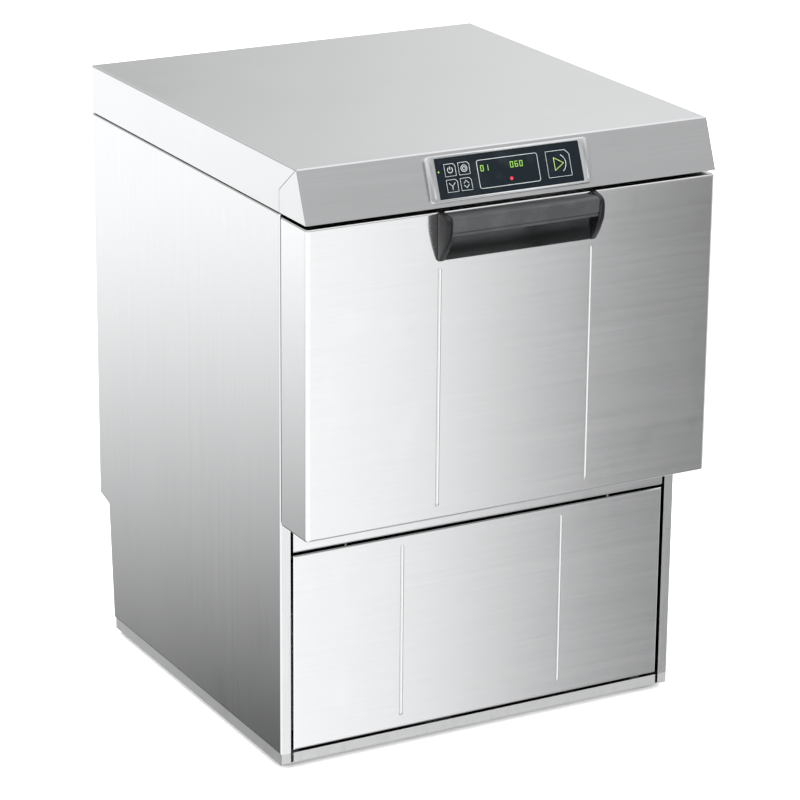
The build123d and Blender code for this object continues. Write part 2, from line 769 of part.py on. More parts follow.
riser_z = rear_step_z + pipe_radius + riser_clearance
riser_y = (chamber_back + chamber_sheet + back_y - sheet) / 2
roof_pipe_z = (chamber_top + cover_z + cover_height) / 2
suction_y = sump_mid - suction_forward
sump_base = sump_z - chamber_sheet
suction_bend_z = (sump_base + pump_z) / 2
with BuildPart() as wash_pipes:
    to_roof = [
        (pump_x, outlet_y, outlet_top),
        (pump_x, outlet_y, riser_z),
        (pump_x, riser_y, riser_z),
        (pump_x, riser_y, roof_pipe_z),
        (*arm_middle, roof_pipe_z),
        (*arm_middle, chamber_top + chamber_sheet),
    ]
    pipe(to_roof, pipe_bends, pipe_radius, pipe_wall)
    from_sump = [
        (suction_x, suction_y, sump_base),
        (suction_x, suction_y, suction_bend_z),
        (pump_x, suction_y, pump_z),
        (pump_x, volute_y[0], pump_z),
    ]
    pipe(from_sump, suction_bends, pipe_radius, pipe_wall)
    feed_z = outlet_top + feed_rise
    to_lower_arm = [
        (pump_x + pipe_radius - pipe_wall, outlet_y, feed_z),
        (0, outlet_y, feed_z),
        (*arm_middle, feed_z),
        (*arm_middle, sump_base),
    ]
    pipe(to_lower_arm, feed_bends, feed_radius, pipe_wall)
pieces["wash_pipes"] = wash_pipes

drain_axis = (drain_pump_x, drain_pump_z)
drain_y = (sump_mid - drain_front, sump_mid - drain_front + drain_volute)
with BuildPart() as drain_pump_housing:
    wall = drain_casing
    rod(drain_axis, drain_y, drain_radius)
    rod(drain_axis, (drain_y[1], drain_y[1] + drain_motor_length), drain_radius - drain_motor_step)
    foot_x = (drain_pump_x - drain_foot_half, drain_pump_x + drain_foot_half)
    block(foot_x, drain_y, (tray_floor, drain_pump_z - drain_radius + wall))
    rod(drain_axis, (drain_y[0] + wall, drain_y[1] - wall), drain_radius - wall, Mode.SUBTRACT)
    rod(drain_axis, (drain_y[1] - wall, drain_y[1] + drain_rotor_length), drain_rotor_radius, Mode.SUBTRACT)
    rod(drain_axis, (drain_y[0], drain_y[0] + wall), drain_inlet_radius, Mode.SUBTRACT)
pieces["drain_pump_housing"] = drain_pump_housing

with BuildPart() as drain_pump_rotor:
    magnet_y = (drain_y[1] - 2 * drain_casing, drain_y[1] + drain_rotor_length - drain_casing)
    rod(drain_axis, magnet_y, drain_rotor_radius - gap)
    with Locations(Location((drain_pump_x, drain_y[1] - drain_vane_back, drain_pump_z), (90, 0, 0))):
        with PolarLocations(drain_rotor_radius, drain_vanes):
            Box(*drain_vane)
        Cylinder(drain_hub_radius, drain_vane[2])
pieces["drain_pump_rotor"] = drain_pump_rotor

boiler_axis = (boiler_x, boiler_z)
boiler_y = (sump_mid - boiler_length / 2, sump_mid + boiler_length / 2)
with BuildPart() as rinse_boiler:
    foot_half, foot_length = boiler_foot
    rod(boiler_axis, boiler_y, boiler_radius)
    fillet(rinse_boiler.edges().filter_by(GeomType.CIRCLE), radius=boiler_edge)
    for y in (boiler_y[0] + boiler_feet[0], boiler_y[1] + boiler_feet[1]):
        foot_x = (boiler_x - foot_half, boiler_x + foot_half)
        block(foot_x, (y, y + foot_length), (tray_floor, boiler_z - boiler_radius + 2 * foot_overlap))
    tank_y = (boiler_y[0] + boiler_wall, boiler_y[1] - boiler_wall)
    rod(boiler_axis, tank_y, boiler_radius - boiler_jacket, Mode.SUBTRACT)
    rod(boiler_axis, (boiler_y[0], boiler_y[0] + boiler_wall), boiler_mouth, Mode.SUBTRACT)
pieces["rinse_boiler"] = rinse_boiler

with BuildPart() as boiler_element:
    face_y = boiler_y[0] - boiler_flange
    rod_end = boiler_y[1] - boiler_rod_end
    rod(boiler_axis, (face_y, boiler_y[0]), boiler_flange_radius)
    for hand in (-1, 1):
        leg = (boiler_x + hand * boiler_rod_half, boiler_z)
        rod(leg, (boiler_y[0], rod_end), boiler_rod)
        rod(leg, (face_y - terminal_length, face_y), terminal_radius)
    with Locations((boiler_x, rod_end, boiler_z)):
        Box(*rod_bridge)
pieces["boiler_element"] = boiler_element

dose_axis = (dose_x, dose_z)
dose_y = (body_y + dose_front, body_y + dose_front + dose_depth)
with BuildPart() as dosing_pump_housing:
    motor_size, motor_reach = dose_motor
    block((dose_x - dose_half, dose_x + dose_half), dose_y, (dose_z - dose_half, dose_z + dose_half))
    rod(dose_axis, (dose_y[1], dose_y[1] + motor_reach), motor_size)
    block((dose_x - dose_foot_half, dose_x + dose_foot_half), dose_y, (tray_floor, dose_z - dose_half))
    rod(dose_axis, (dose_y[0], dose_y[0] + dose_bore), dose_radius + dose_rim, Mode.SUBTRACT)
pieces["dosing_pump_housing"] = dosing_pump_housing

with BuildPart() as dosing_pump_rotor:
    roller_radius, roller_length, roller_out = dose_roller
    rod(dose_axis, (dose_y[0] + dose_rim, dose_y[0] + dose_bore - 1), dose_shaft)
    with Locations(Location((dose_x, dose_y[0] + dose_bore / 2, dose_z), (90, 0, 0))):
        with PolarLocations(roller_out, dose_rollers):
            Cylinder(roller_radius, roller_length)
        with PolarLocations(dose_arm_out, dose_rollers):
            Box(*dose_arm)
pieces["dosing_pump_rotor"] = dosing_pump_rotor

box_left = sheet + 4 * gap - half
box_x = (box_left, box_left + box_width)
box_y = (body_y + box_front, body_y + box_front + box_length)
box_z = (tray_floor + box_rise, tray_floor + box_rise + box_height)
with BuildPart() as electrical_box:
    wall = box_wall
    leg_left, leg_right, leg_length = box_leg
    margin, module_depth, module_height = module_size
    block(box_x, box_y, box_z)
    inside_z = (box_z[0] + wall, box_z[1] - wall)
    block((box_x[0] + wall, box_x[1] - wall), (box_y[0] - wall, box_y[1] - wall), inside_z, Mode.SUBTRACT)
    for y in (box_y[0] + box_leg_places[0], box_y[1] + box_leg_places[1]):
        block((box_x[0] + leg_left, box_x[1] - leg_right), (y, y + leg_length), (tray_floor, box_z[0]))
    for step in range(modules):
        z = box_z[0] + module_first + step * module_pitch
        module_y = (box_y[1] - module_depth, box_y[1] - wall)
        block((box_x[0] + margin, box_x[1] - margin), module_y, (z, z + module_height))
pieces["electrical_box"] = electrical_box

# --- Rear connections ---
connector_end = back_y - connector_clearance
with BuildPart() as water_inlet:
    axis = (inlet_x, inlet_z)
    span = (rear_lower_y - inlet_inside, connector_end)
    rod(axis, span, thread_radius)
    rod(axis, (rear_lower_y, rear_lower_y + inlet_flange[1]), thread_radius + inlet_flange[0])
    rod(axis, span, inlet_bore, Mode.SUBTRACT)
pieces["water_inlet"] = water_inlet

with BuildPart() as inlet_valve:
    valve_end = rear_lower_y - inlet_inside
    valve_y = (valve_end - valve_length, valve_end)
    valve_x = (inlet_x - valve_half, inlet_x + valve_half)
    block(valve_x, valve_y, (inlet_z - valve_half, inlet_z + valve_top))
    post((inlet_x, valve_y[0] + coil_place), (inlet_z + valve_top, inlet_z + coil_top), coil_radius)
    rod((inlet_x, inlet_z), valve_y, valve_bore, Mode.SUBTRACT)
pieces["inlet_valve"] = inlet_valve

with BuildPart() as drain_outlet:
    axis = (outlet_x, outlet_z)
    span = (rear_lower_y - outlet_inside, connector_end)
    rod(axis, span, spigot_radius)
    rod(axis, (rear_lower_y, rear_lower_y + outlet_flange[1]), spigot_radius + outlet_flange[0])
    rod(axis, span, spigot_radius - spigot_wall, Mode.SUBTRACT)
pieces["drain_outlet"] = drain_outlet

with BuildPart() as cable_gland:
    axis = (gland_x, gland_z)
    cap_radius, cap_low, cap_high = gland_cap
    rod(axis, (rear_lower_y - gland_inside, rear_lower_y + gland_outside), gland_radius)
    with BuildSketch(Plane(origin=(gland_x, rear_lower_y, gland_z), z_dir=(0, 1, 0))):
        RegularPolygon(radius=gland_hexagon[0], side_count=6)
    extrude(amount=gland_hexagon[1])
    rod(axis, (rear_lower_y + cap_low, rear_lower_y + cap_high), cap_radius)
    rod(axis, (rear_lower_y - gland_inside, rear_lower_y + cap_high), cable_radius, Mode.SUBTRACT)
pieces["cable_gland"] = cable_gland

# --- Hinges ---
hinge_hands = (-1, 1)
with BuildPart() as hinge_brackets:
    for hand in hinge_hands:
        x = sorted((hand * (bracket_x - bracket_sheet / 2), hand * (bracket_x + bracket_sheet / 2)))
        pin(x, arm_radius)
        block(x, (hinge_y, chamber_y + bracket_foot), (hinge_z - arm_radius, hinge_z + arm_radius))
        pin(x, pin_radius, Mode.SUBTRACT)
        foot_x = sorted((hand * (chamber_half + chamber_sheet), hand * (bracket_x + bracket_sheet / 2)))
        foot_top = hinge_z + arm_radius + bracket_foot
        block(foot_x, (chamber_y, chamber_y + bracket_sheet), (hinge_z + arm_radius, foot_top))
        block(x, (chamber_y, chamber_y + bracket_foot), (hinge_z, foot_top))
pieces["hinge_brackets"] = hinge_brackets

pin_inner = bracket_x - bracket_sheet / 2 - spring_length - spring_clearance
pin_outer = hinge_plate_x + hinge_plate_sheet / 2 + 1
with BuildPart() as hinge_pins:
    for hand in hinge_hands:
        pin(sorted((hand * pin_inner, hand * pin_outer)), pin_radius)
pieces["hinge_pins"] = hinge_pins

notch_y = (hinge_y - arm_radius - notch_clearance, door_back_y + gap)
notch_z = (door_z - gap, hinge_z + arm_radius + notch_clearance)


def hinge_notches():
    """Cut the slots that the hinge brackets swing through."""
    for hand in hinge_hands:
        reach = bracket_sheet / 2 + notch_clearance
        block((hand * bracket_x - reach, hand * bracket_x + reach), notch_y, notch_z, Mode.SUBTRACT)


# --- Door ---
inner_y = door_back_y - sheet
pocket_z = door_top - pocket_roof - pocket_height


def pocket_outline(grow):
    """Side view of the finger recess, grown outwards by the skin's thickness."""
    Polyline(
        (door_y - gap + grow, pocket_z - grow),
        (door_y + grow, pocket_z - grow),
        (door_y + pocket_depth + grow, door_top - pocket_roof - pocket_wall),
        (door_y + pocket_depth + grow, door_top - pocket_roof + grow),
        (door_y - gap + grow, door_top - pocket_roof + grow),
        close=True,
    )


def door_block(inset):
    """The door's outline as a solid with soft front edges, shrunk by the inset."""
    with BuildPart() as body:
        reach = half - inset
        block((-reach, reach), (door_y + inset, door_back_y), (door_z + inset, door_top - inset))
        front = body.faces().sort_by(Axis.Y)[0]
        fillet(front.edges().filter_by(Axis.Z), radius=door_side_radius - inset)
        front = body.faces().sort_by(Axis.Y)[0]
        fillet(front.edges().filter_by(Axis.X), radius=door_edge_radius - inset)
    return body.part


with BuildPart() as door_outer_skin:
    add(door_block(0))
    add(door_block(sheet), mode=Mode.SUBTRACT)
    ribs(door_outer_skin, door_rib_x, door_z + door_rib_low, door_top - door_rib_high, door_y)
    with BuildSketch(Plane.YZ):
        with BuildLine():
            pocket_outline(sheet)
        make_face()
    extrude(amount=pocket_half + sheet, both=True)
    with BuildSketch(Plane.YZ):
        with BuildLine():
            pocket_outline(0)
        make_face()
    extrude(amount=pocket_half, both=True, mode=Mode.SUBTRACT)
    hinge_notches()
pieces["door_outer_skin"] = door_outer_skin

with BuildPart() as door_inner_skin:
    skin_half = half - sheet - gap
    block((-skin_half, skin_half), (inner_y, door_back_y), (door_z + sheet + gap, door_top - sheet - gap))
    fillet(door_inner_skin.edges().filter_by(Axis.Y), radius=bend)
    pad_half = gasket_half - gasket_width - emboss_margin
    pad_z = (gasket_z + gasket_width + emboss_margin, gasket_top - gasket_width - emboss_margin)
    block((-pad_half, pad_half), (inner_y, door_back_y + emboss), pad_z)
    pad_face = door_inner_skin.faces().sort_by(Axis.Y)[-1]
    chamfer(pad_face.edges(), length=emboss - gap)
    block(
        (emboss - pad_half, pad_half - emboss),
        (inner_y, door_back_y + emboss - sheet),
        (pad_z[0] + emboss, pad_z[1] - emboss),
        Mode.SUBTRACT,
    )
    hinge_notches()
pieces["door_inner_skin"] = door_inner_skin

with BuildPart() as door_gasket:
    y = (door_back_y, body_y - gap)
    block((-gasket_half, gasket_half), y, (gasket_z, gasket_top))
    inner = gasket_half - gasket_width
    block((-inner, inner), y, (gasket_z + gasket_width, gasket_top - gasket_width), Mode.SUBTRACT)
pieces["door_gasket"] = door_gasket

with BuildPart() as door_hinge_plates:
    plate_top = hinge_z + hinge_plate_height
    plate_outer = hinge_plate_x + hinge_plate_sheet / 2
    for hand in hinge_hands:
        x = sorted((hand * (plate_outer - hinge_plate_sheet), hand * plate_outer))
        pin(x, arm_radius)
        block(x, (hinge_y - arm_radius, inner_y), (hinge_z, plate_top))
        flange_x = sorted((hand * (plate_outer - hinge_plate_sheet - hinge_flange), hand * plate_outer))
        flange_z = (hinge_z + arm_radius + hinge_flange_rise, plate_top)
        block(flange_x, (inner_y - hinge_flange_sheet, inner_y), flange_z)
        pin(x, pin_radius + pin_clearance, Mode.SUBTRACT)
pieces["door_hinge_plates"] = door_hinge_plates

spring_x = pin_inner + spring_clearance / 2
with BuildPart() as door_springs:
    for hand in hinge_hands:
        turn = Helix(
            pitch=spring_pitch,
            height=spring_length,
            radius=spring_radius,
            center=(hand * spring_x, hinge_y, hinge_z),
            direction=(hand, 0, 0),
        )
        with BuildSketch(Plane(origin=turn @ 0, z_dir=turn % 0)):
            Circle(spring_wire)
        sweep(path=turn, is_frenet=True)
pieces["door_springs"] = door_springs

fin_top = door_top + fin_rise
front_y = door_y - handle_reach
fin_outline = (
    (door_y, fin_top),
    (front_y + 5.0, fin_top - 5.0),
    (front_y, fin_top - 12.0),
    (front_y + 2.0, fin_top - 36.0),
    (door_y - 4.0, fin_top - fin_height + 1.0),
    (door_y, fin_top - fin_height),
)
for hand, label in ((-1, "handle_end_left"), (1, "handle_end_right")):
    with BuildPart() as fin:
        with BuildSketch(Plane.YZ.offset(hand * pocket_half)):
            with BuildLine():
                Polyline(*fin_outline, close=True)
            make_face()
        extrude(amount=hand * fin_thickness)
        outer = fin.edges().filter_by(lambda edge: edge.center().Y < door_y - gap)
        fillet(outer, radius=fin_edge)
    pieces[label] = fin

with BuildPart() as handle_grip:
    grip_middle = (front_y + grip_inset + grip_depth / 2, door_top - grip_drop - grip_height / 2)
    with BuildSketch(Plane.YZ):
        with Locations(grip_middle):
            RectangleRounded(grip_depth, grip_height, grip_edge)
    extrude(amount=pocket_half, both=True)
pieces["handle_grip"] = handle_grip

# --- Control unit ---
inner_width = bezel_width - 2 * bezel_side
inner_height = bezel_height - 2 * bezel_edge
with BuildPart() as control_bezel:
    with BuildSketch(fascia):
        RectangleRounded(bezel_width, bezel_height, bezel_corner)
        Rectangle(inner_width, inner_height, mode=Mode.SUBTRACT)
    extrude(amount=bezel_rise)
    top_face = max(control_bezel.faces(), key=lambda face: face.center().dot(fascia.z_dir))
    chamfer(top_face.edges(), length=bezel_chamfer)
pieces["control_bezel"] = control_bezel

key_places = {
    "power_key": (key_block_x - key_pitch / 2, key_pitch / 2, key_size, key_size),
    "program_key": (key_block_x + key_pitch / 2, key_pitch / 2, key_size, key_size),
    "drain_key": (key_block_x - key_pitch / 2, -key_pitch / 2, key_size, key_size),
    "selector_key": (key_block_x + key_pitch / 2, -key_pitch / 2, key_size, key_size),
    "start_key": (start_key_x, 0.0, start_key_width, start_key_height),
}
with BuildPart() as control_window:
    with BuildSketch(fascia.offset(window_rise - window_sheet)):
        Rectangle(inner_width - 2 * gap, inner_height - 2 * gap)
        for x, y, across, tall in key_places.values():
            with Locations((x, y)):
                Rectangle(across + 2 * key_clearance, tall + 2 * key_clearance, mode=Mode.SUBTRACT)
    extrude(amount=window_sheet)
pieces["control_window"] = control_window

for label, (x, y, across, tall) in key_places.items():
    with BuildPart() as key:
        with BuildSketch(fascia.offset(window_rise + key_proud - key_depth)):
            with Locations((x, y)):
                Rectangle(across, tall)
        extrude(amount=key_depth)
    pieces[label] = key

switch_height = board_depth + window_rise + key_proud - key_depth - key_travel - gap
with BuildPart() as control_board:
    with BuildSketch(fascia.offset(-board_depth - board_sheet)):
        Rectangle(inner_width - 2 * board_margin, inner_height - 2 * board_margin)
    extrude(amount=board_sheet)
    with BuildSketch(fascia.offset(-board_depth)):
        for x, y, across, tall in key_places.values():
            with Locations((x, y)):
                Circle(switch_radius)
        with Locations((0, 0)):
            Rectangle(*display_size)
    extrude(amount=switch_height)
pieces["control_board"] = control_board

for label, built in pieces.items():
    built.part.label = label
    export_step(built.part, f"parts/{label}.step")
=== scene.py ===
import json
import logging
from dataclasses import dataclass, field
from enum import Enum
from math import cos, hypot, pi, radians, sin
from typing import Optional, Sequence, Union

import bpy
from mathutils import Matrix, Vector


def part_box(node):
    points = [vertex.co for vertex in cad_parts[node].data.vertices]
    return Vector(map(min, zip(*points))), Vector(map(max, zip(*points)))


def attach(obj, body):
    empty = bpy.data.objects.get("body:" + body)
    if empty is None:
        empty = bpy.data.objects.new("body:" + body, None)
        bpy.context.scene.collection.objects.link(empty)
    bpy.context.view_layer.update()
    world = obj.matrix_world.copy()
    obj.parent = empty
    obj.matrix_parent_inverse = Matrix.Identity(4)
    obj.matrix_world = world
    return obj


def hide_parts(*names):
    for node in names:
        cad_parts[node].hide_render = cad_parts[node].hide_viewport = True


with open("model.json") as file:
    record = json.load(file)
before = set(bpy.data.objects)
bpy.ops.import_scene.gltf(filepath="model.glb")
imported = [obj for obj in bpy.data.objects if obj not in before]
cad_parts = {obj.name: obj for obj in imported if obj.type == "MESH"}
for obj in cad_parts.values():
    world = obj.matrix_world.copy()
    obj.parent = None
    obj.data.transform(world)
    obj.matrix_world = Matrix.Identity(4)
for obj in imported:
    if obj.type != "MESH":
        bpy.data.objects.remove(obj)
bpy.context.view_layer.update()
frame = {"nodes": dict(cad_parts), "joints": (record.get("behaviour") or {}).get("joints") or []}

log = logging.getLogger("dishwasher")
MM = 0.001
Triple = tuple[float, float, float]


class Axis(Enum):
    """A direction of the object's own frame, by its index."""

    X = 0
    Y = 1
    Z = 2


# ---------------------------------------------------------------- shader maths


class Wire:
    """A shader socket that Python's operators turn into Math nodes."""

    def __init__(self, paint: "NodeBench", socket: bpy.types.NodeSocket) -> None:
        """Keeps the socket and the paint that it belongs to."""
        self.paint = paint
        self.socket = socket

    def _maths(self, operation: str, first: "Value", second: "Value" = 0.0) -> "Wire":
        """Adds one Math node and returns its result."""
        return self.paint.node("ShaderNodeMath", {"operation": operation}, {0: first, 1: second})

    def __add__(self, other: "Value") -> "Wire":
        """Sum."""
        return self._maths("ADD", self, other)

    __radd__ = __add__

    def __sub__(self, other: "Value") -> "Wire":
        """Difference."""
        return self._maths("SUBTRACT", self, other)

    def __rsub__(self, other: "Value") -> "Wire":
        """Difference from a number."""
        return self._maths("SUBTRACT", other, self)

    def __mul__(self, other: "Value") -> "Wire":
        """Product."""
        return self._maths("MULTIPLY", self, other)

    __rmul__ = __mul__

    def __truediv__(self, other: "Value") -> "Wire":
        """Quotient."""
        return self._maths("DIVIDE", self, other)

    def __abs__(self) -> "Wire":
        """Size without sign."""
        return self._maths("ABSOLUTE", self)

    def between(self, low: float, high: float) -> "Wire":
        """This value spread so that low gives 0 and high gives 1, held at the ends.

        Args:
            low: The value that gives 0.
            high: The value that gives 1.

        Returns:
            The spread value.
        """
        inputs = {"Value": self, "From Min": low, "From Max": high}
        return self.paint.node("ShaderNodeMapRange", {"clamp": True}, inputs)


Value = Union[Wire, float]


class NodeBench:
    """A node tree under construction."""

    def __init__(self, tree: bpy.types.NodeTree) -> None:
        """Keeps the tree and empties it.

        Args:
            tree: The tree to build in.
        """
        self.tree = tree
        self.tree.nodes.clear()

    def node(self, kind: str, settings: Optional[dict] = None, inputs: Optional[dict] = None) -> Wire:
        """Adds a node.

        Args:
            kind: The node's type.
            settings: Its settings, set first.
            inputs: Values or wires for its sockets, by name or index.

        Returns:
            The node's first output that is in use.
        """
        made = self.tree.nodes.new(kind)
        for key, value in (settings or {}).items():
            setattr(made, key, value)
        for key, value in (inputs or {}).items():
            if isinstance(value, Wire):
                self.tree.links.new(value.socket, made.inputs[key])
            else:
                made.inputs[key].default_value = value
        used = [socket for socket in made.outputs if socket.enabled]
        return Wire(self, used[0])

    def parts(self, vector: Wire) -> tuple[Wire, Wire, Wire]:
        """The three numbers of a vector."""
        made = self.tree.nodes.new("ShaderNodeSeparateXYZ")
        self.tree.links.new(vector.socket, made.inputs[0])
        return Wire(self, made.outputs[0]), Wire(self, made.outputs[1]), Wire(self, made.outputs[2])


class Paint(NodeBench):
    """One node material under construction."""

    def __init__(self, name: str) -> None:
        """Starts an empty material with a Principled shader.

        Args:
            name: The material's name.
        """
        self.material = bpy.data.materials.new(name)
        self.material.use_nodes = True
        super().__init__(self.material.node_tree)
        output = self.tree.nodes.new("ShaderNodeOutputMaterial")
        self.shader = self.tree.nodes.new("ShaderNodeBsdfPrincipled")
        self.tree.links.new(self.shader.outputs[0], output.inputs["Surface"])

    def set(self, **values: object) -> None:
        """Sets sockets of the shader; a wire is linked and anything else is set directly.

        Args:
            **values: The value of each socket, with its spaces as underscores.
        """
        for key, value in values.items():
            socket = self.shader.inputs[key.replace("_", " ")]
            if isinstance(value, Wire):
                self.tree.links.new(value.socket, socket)
            else:
                socket.default_value = value

    def place(self, scale: Triple = (1.0, 1.0, 1.0)) -> Wire:
        """The object's own coordinates in metres, stretched by a scale."""
        made = self.tree.nodes.new("ShaderNodeTexCoord")
        coordinates = Wire(self, made.outputs["Object"])
        return self.node("ShaderNodeMapping", {}, {"Vector": coordinates, "Scale": scale})

    def along(self, axis: Axis) -> Wire:
        """One of the object's own coordinates, in metres."""
        return self.parts(self.place())[axis.value]

    def noise(self, scale: Triple, detail: float = 2.0, roughness: float = 0.5) -> Wire:
        """Smooth noise with so many features to the metre along each axis."""
        inputs = {"Vector": self.place(scale), "Scale": 1.0, "Detail": detail, "Roughness": roughness}
        return self.node("ShaderNodeTexNoise", {}, inputs)

    def shade(self, factor: Value, low: Triple, high: Triple) -> Wire:
        """A colour between two others."""
        made = self.tree.nodes.new("ShaderNodeMix")
        made.data_type = "RGBA"
        if isinstance(factor, Wire):
            self.tree.links.new(factor.socket, made.inputs[0])
        else:
            made.inputs[0].default_value = factor
        made.inputs[6].default_value = (*low, 1.0)
        made.inputs[7].default_value = (*high, 1.0)
        return Wire(self, made.outputs[2])

    def bump(self, height: Wire, distance: float, strength: float = 1.0) -> None:
        """Feeds a height to the shader's normal.

        Args:
            height: The height, from 0 to 1.
            distance: How high 1 stands, in metres.
            strength: How much of the bump is used.
        """
        inputs = {"Height": height, "Distance": distance, "Strength": strength}
        self.set(Normal=self.node("ShaderNodeBump", {}, inputs))


# ---------------------------------------------------------------- finishes


@dataclass(frozen=True)
class BrushedSteel:
    """Stainless sheet with a brushed grain, handling marks and a scuffed foot.

    Args:
        name: The material's name.
        grain: The direction that the grain runs in.
        tone: The colour of the metal.
        roughness: How dull it is.
        scuff_below: Height in metres under which the sheet is scuffed.
    """

    name: str
    grain: Axis = Axis.X
    tone: Triple = (0.60, 0.605, 0.61)
    roughness: float = 0.34
    scuff_below: float = 0.0

    def paint(self) -> bpy.types.Material:
        """Builds the material."""
        paint = Paint(self.name)
        fine = [1400.0, 1400.0, 1400.0]
        streak = [120.0, 120.0, 120.0]
        fine[self.grain.value] = 9.0
        streak[self.grain.value] = 1.6
        lines = paint.noise(tuple(fine), 2.0, 0.6)
        bands = paint.noise(tuple(streak), 3.0, 0.55)
        clouds = paint.noise((5.0, 5.0, 5.0), 3.0, 0.5)
        smears = paint.noise((16.0, 16.0, 9.0), 4.0, 0.6).between(0.56, 0.72)
        dark = tuple(channel * 0.955 for channel in self.tone)
        light = tuple(min(channel * 1.04, 1.0) for channel in self.tone)
        mottle = bands * 0.3 + lines * 0.5 + clouds * 0.2
        roughness = self.roughness + (bands - 0.5) * 0.04 + (clouds - 0.5) * 0.03 - smears * 0.02
        if self.scuff_below > 0.0:
            low = paint.along(Axis.Z).between(self.scuff_below, self.scuff_below * 0.2)
            scuffs = paint.noise((70.0, 70.0, 26.0), 5.0, 0.7).between(0.5, 0.66) * low
            roughness = roughness + scuffs * 0.16
            mottle = mottle - scuffs * 0.35
        paint.set(Base_Color=paint.shade(mottle.between(0.3, 0.7), dark, light))
        paint.set(Metallic=1.0, Roughness=roughness.between(0.0, 1.0), Specular_IOR_Level=0.5)
        paint.bump(lines * 0.7 + bands * 0.3, 0.00006, 0.5)
        return paint.material


@dataclass(frozen=True)
class Moulded:
    """A moulded plastic or rubber part.

    Args:
        name: The material's name.
        tone: Its colour.
        roughness: How dull it is.
        grain: Features of its surface texture to the metre.
        relief: Depth of that texture, in metres.
        coat: Clear gloss over the surface, from 0 to 1.
        specular: Strength of the surface's own reflection, from 0 to 1.
    """

    name: str
    tone: Triple
    roughness: float = 0.4
    grain: float = 900.0
    relief: float = 0.00003
    coat: float = 0.0
    specular: float = 0.5

    def paint(self) -> bpy.types.Material:
        """Builds the material."""
        paint = Paint(self.name)
        grit = paint.noise((self.grain,) * 3, 3.0, 0.6)
        wear = paint.noise((38.0, 38.0, 38.0), 4.0, 0.65).between(0.5, 0.75)
        pale = tuple(min(channel * 1.5 + 0.012, 1.0) for channel in self.tone)
        paint.set(Base_Color=paint.shade(wear * 0.5 + grit * 0.2, self.tone, pale))
        paint.set(Roughness=(self.roughness + wear * 0.10 + (grit - 0.5) * 0.06).between(0.0, 1.0))
        paint.set(Coat_Weight=self.coat, Coat_Roughness=0.05, Specular_IOR_Level=self.specular)
        paint.bump(grit, self.relief, 0.6)
        return paint.material


@dataclass(frozen=True)
class PlatedMetal:
    """A polished, plated or cast metal part.

    Args:
        name: The material's name.
        tone: Its colour.
        roughness: How dull it is.
        tarnish: How strongly it is stained, from 0 to 1.
    """

    name: str
    tone: Triple
    roughness: float = 0.2
    tarnish: float = 0.3

    def paint(self) -> bpy.types.Material:
        """Builds the material."""
        paint = Paint(self.name)
        stain = paint.noise((60.0, 60.0, 60.0), 5.0, 0.6).between(0.42, 0.72)
        scratches = paint.noise((900.0, 60.0, 900.0), 2.0, 0.5)
        dull = tuple(channel * (1.0 - 0.45 * self.tarnish) for channel in self.tone)
        roughness = self.roughness + stain * 0.2 * self.tarnish + (scratches - 0.5) * 0.08
        paint.set(Base_Color=paint.shade(stain, self.tone, dull), Metallic=1.0)
        paint.set(Roughness=roughness.between(0.0, 1.0))
        paint.bump(scratches, 0.00004, 0.4)
        return paint.material


@dataclass(frozen=True)
class Lit:
    """A lamp or digit that shines, or a printed mark given a painted glow, each in its own colour.

    Args:
        name: The material's name.
        tone: Its colour.
        glow: How strongly it shines.
    """

    name: str
    tone: Triple
    glow: float

    def paint(self) -> bpy.types.Material:
        """Builds the material."""
        paint = Paint(self.name)
        grit = paint.noise((2500.0, 2500.0, 2500.0), 2.0, 0.5)
        faded = tuple(channel * 0.75 for channel in self.tone)
        tone = paint.shade(grit, faded, self.tone)
        # On lamps and digits this emission is their own light; on printed marks it is a painted glow
        paint.set(Base_Color=tone, Emission_Color=tone, Emission_Strength=self.glow, Roughness=0.35)
        return paint.material


Finish = Union[BrushedSteel, Moulded, PlatedMetal, Lit]


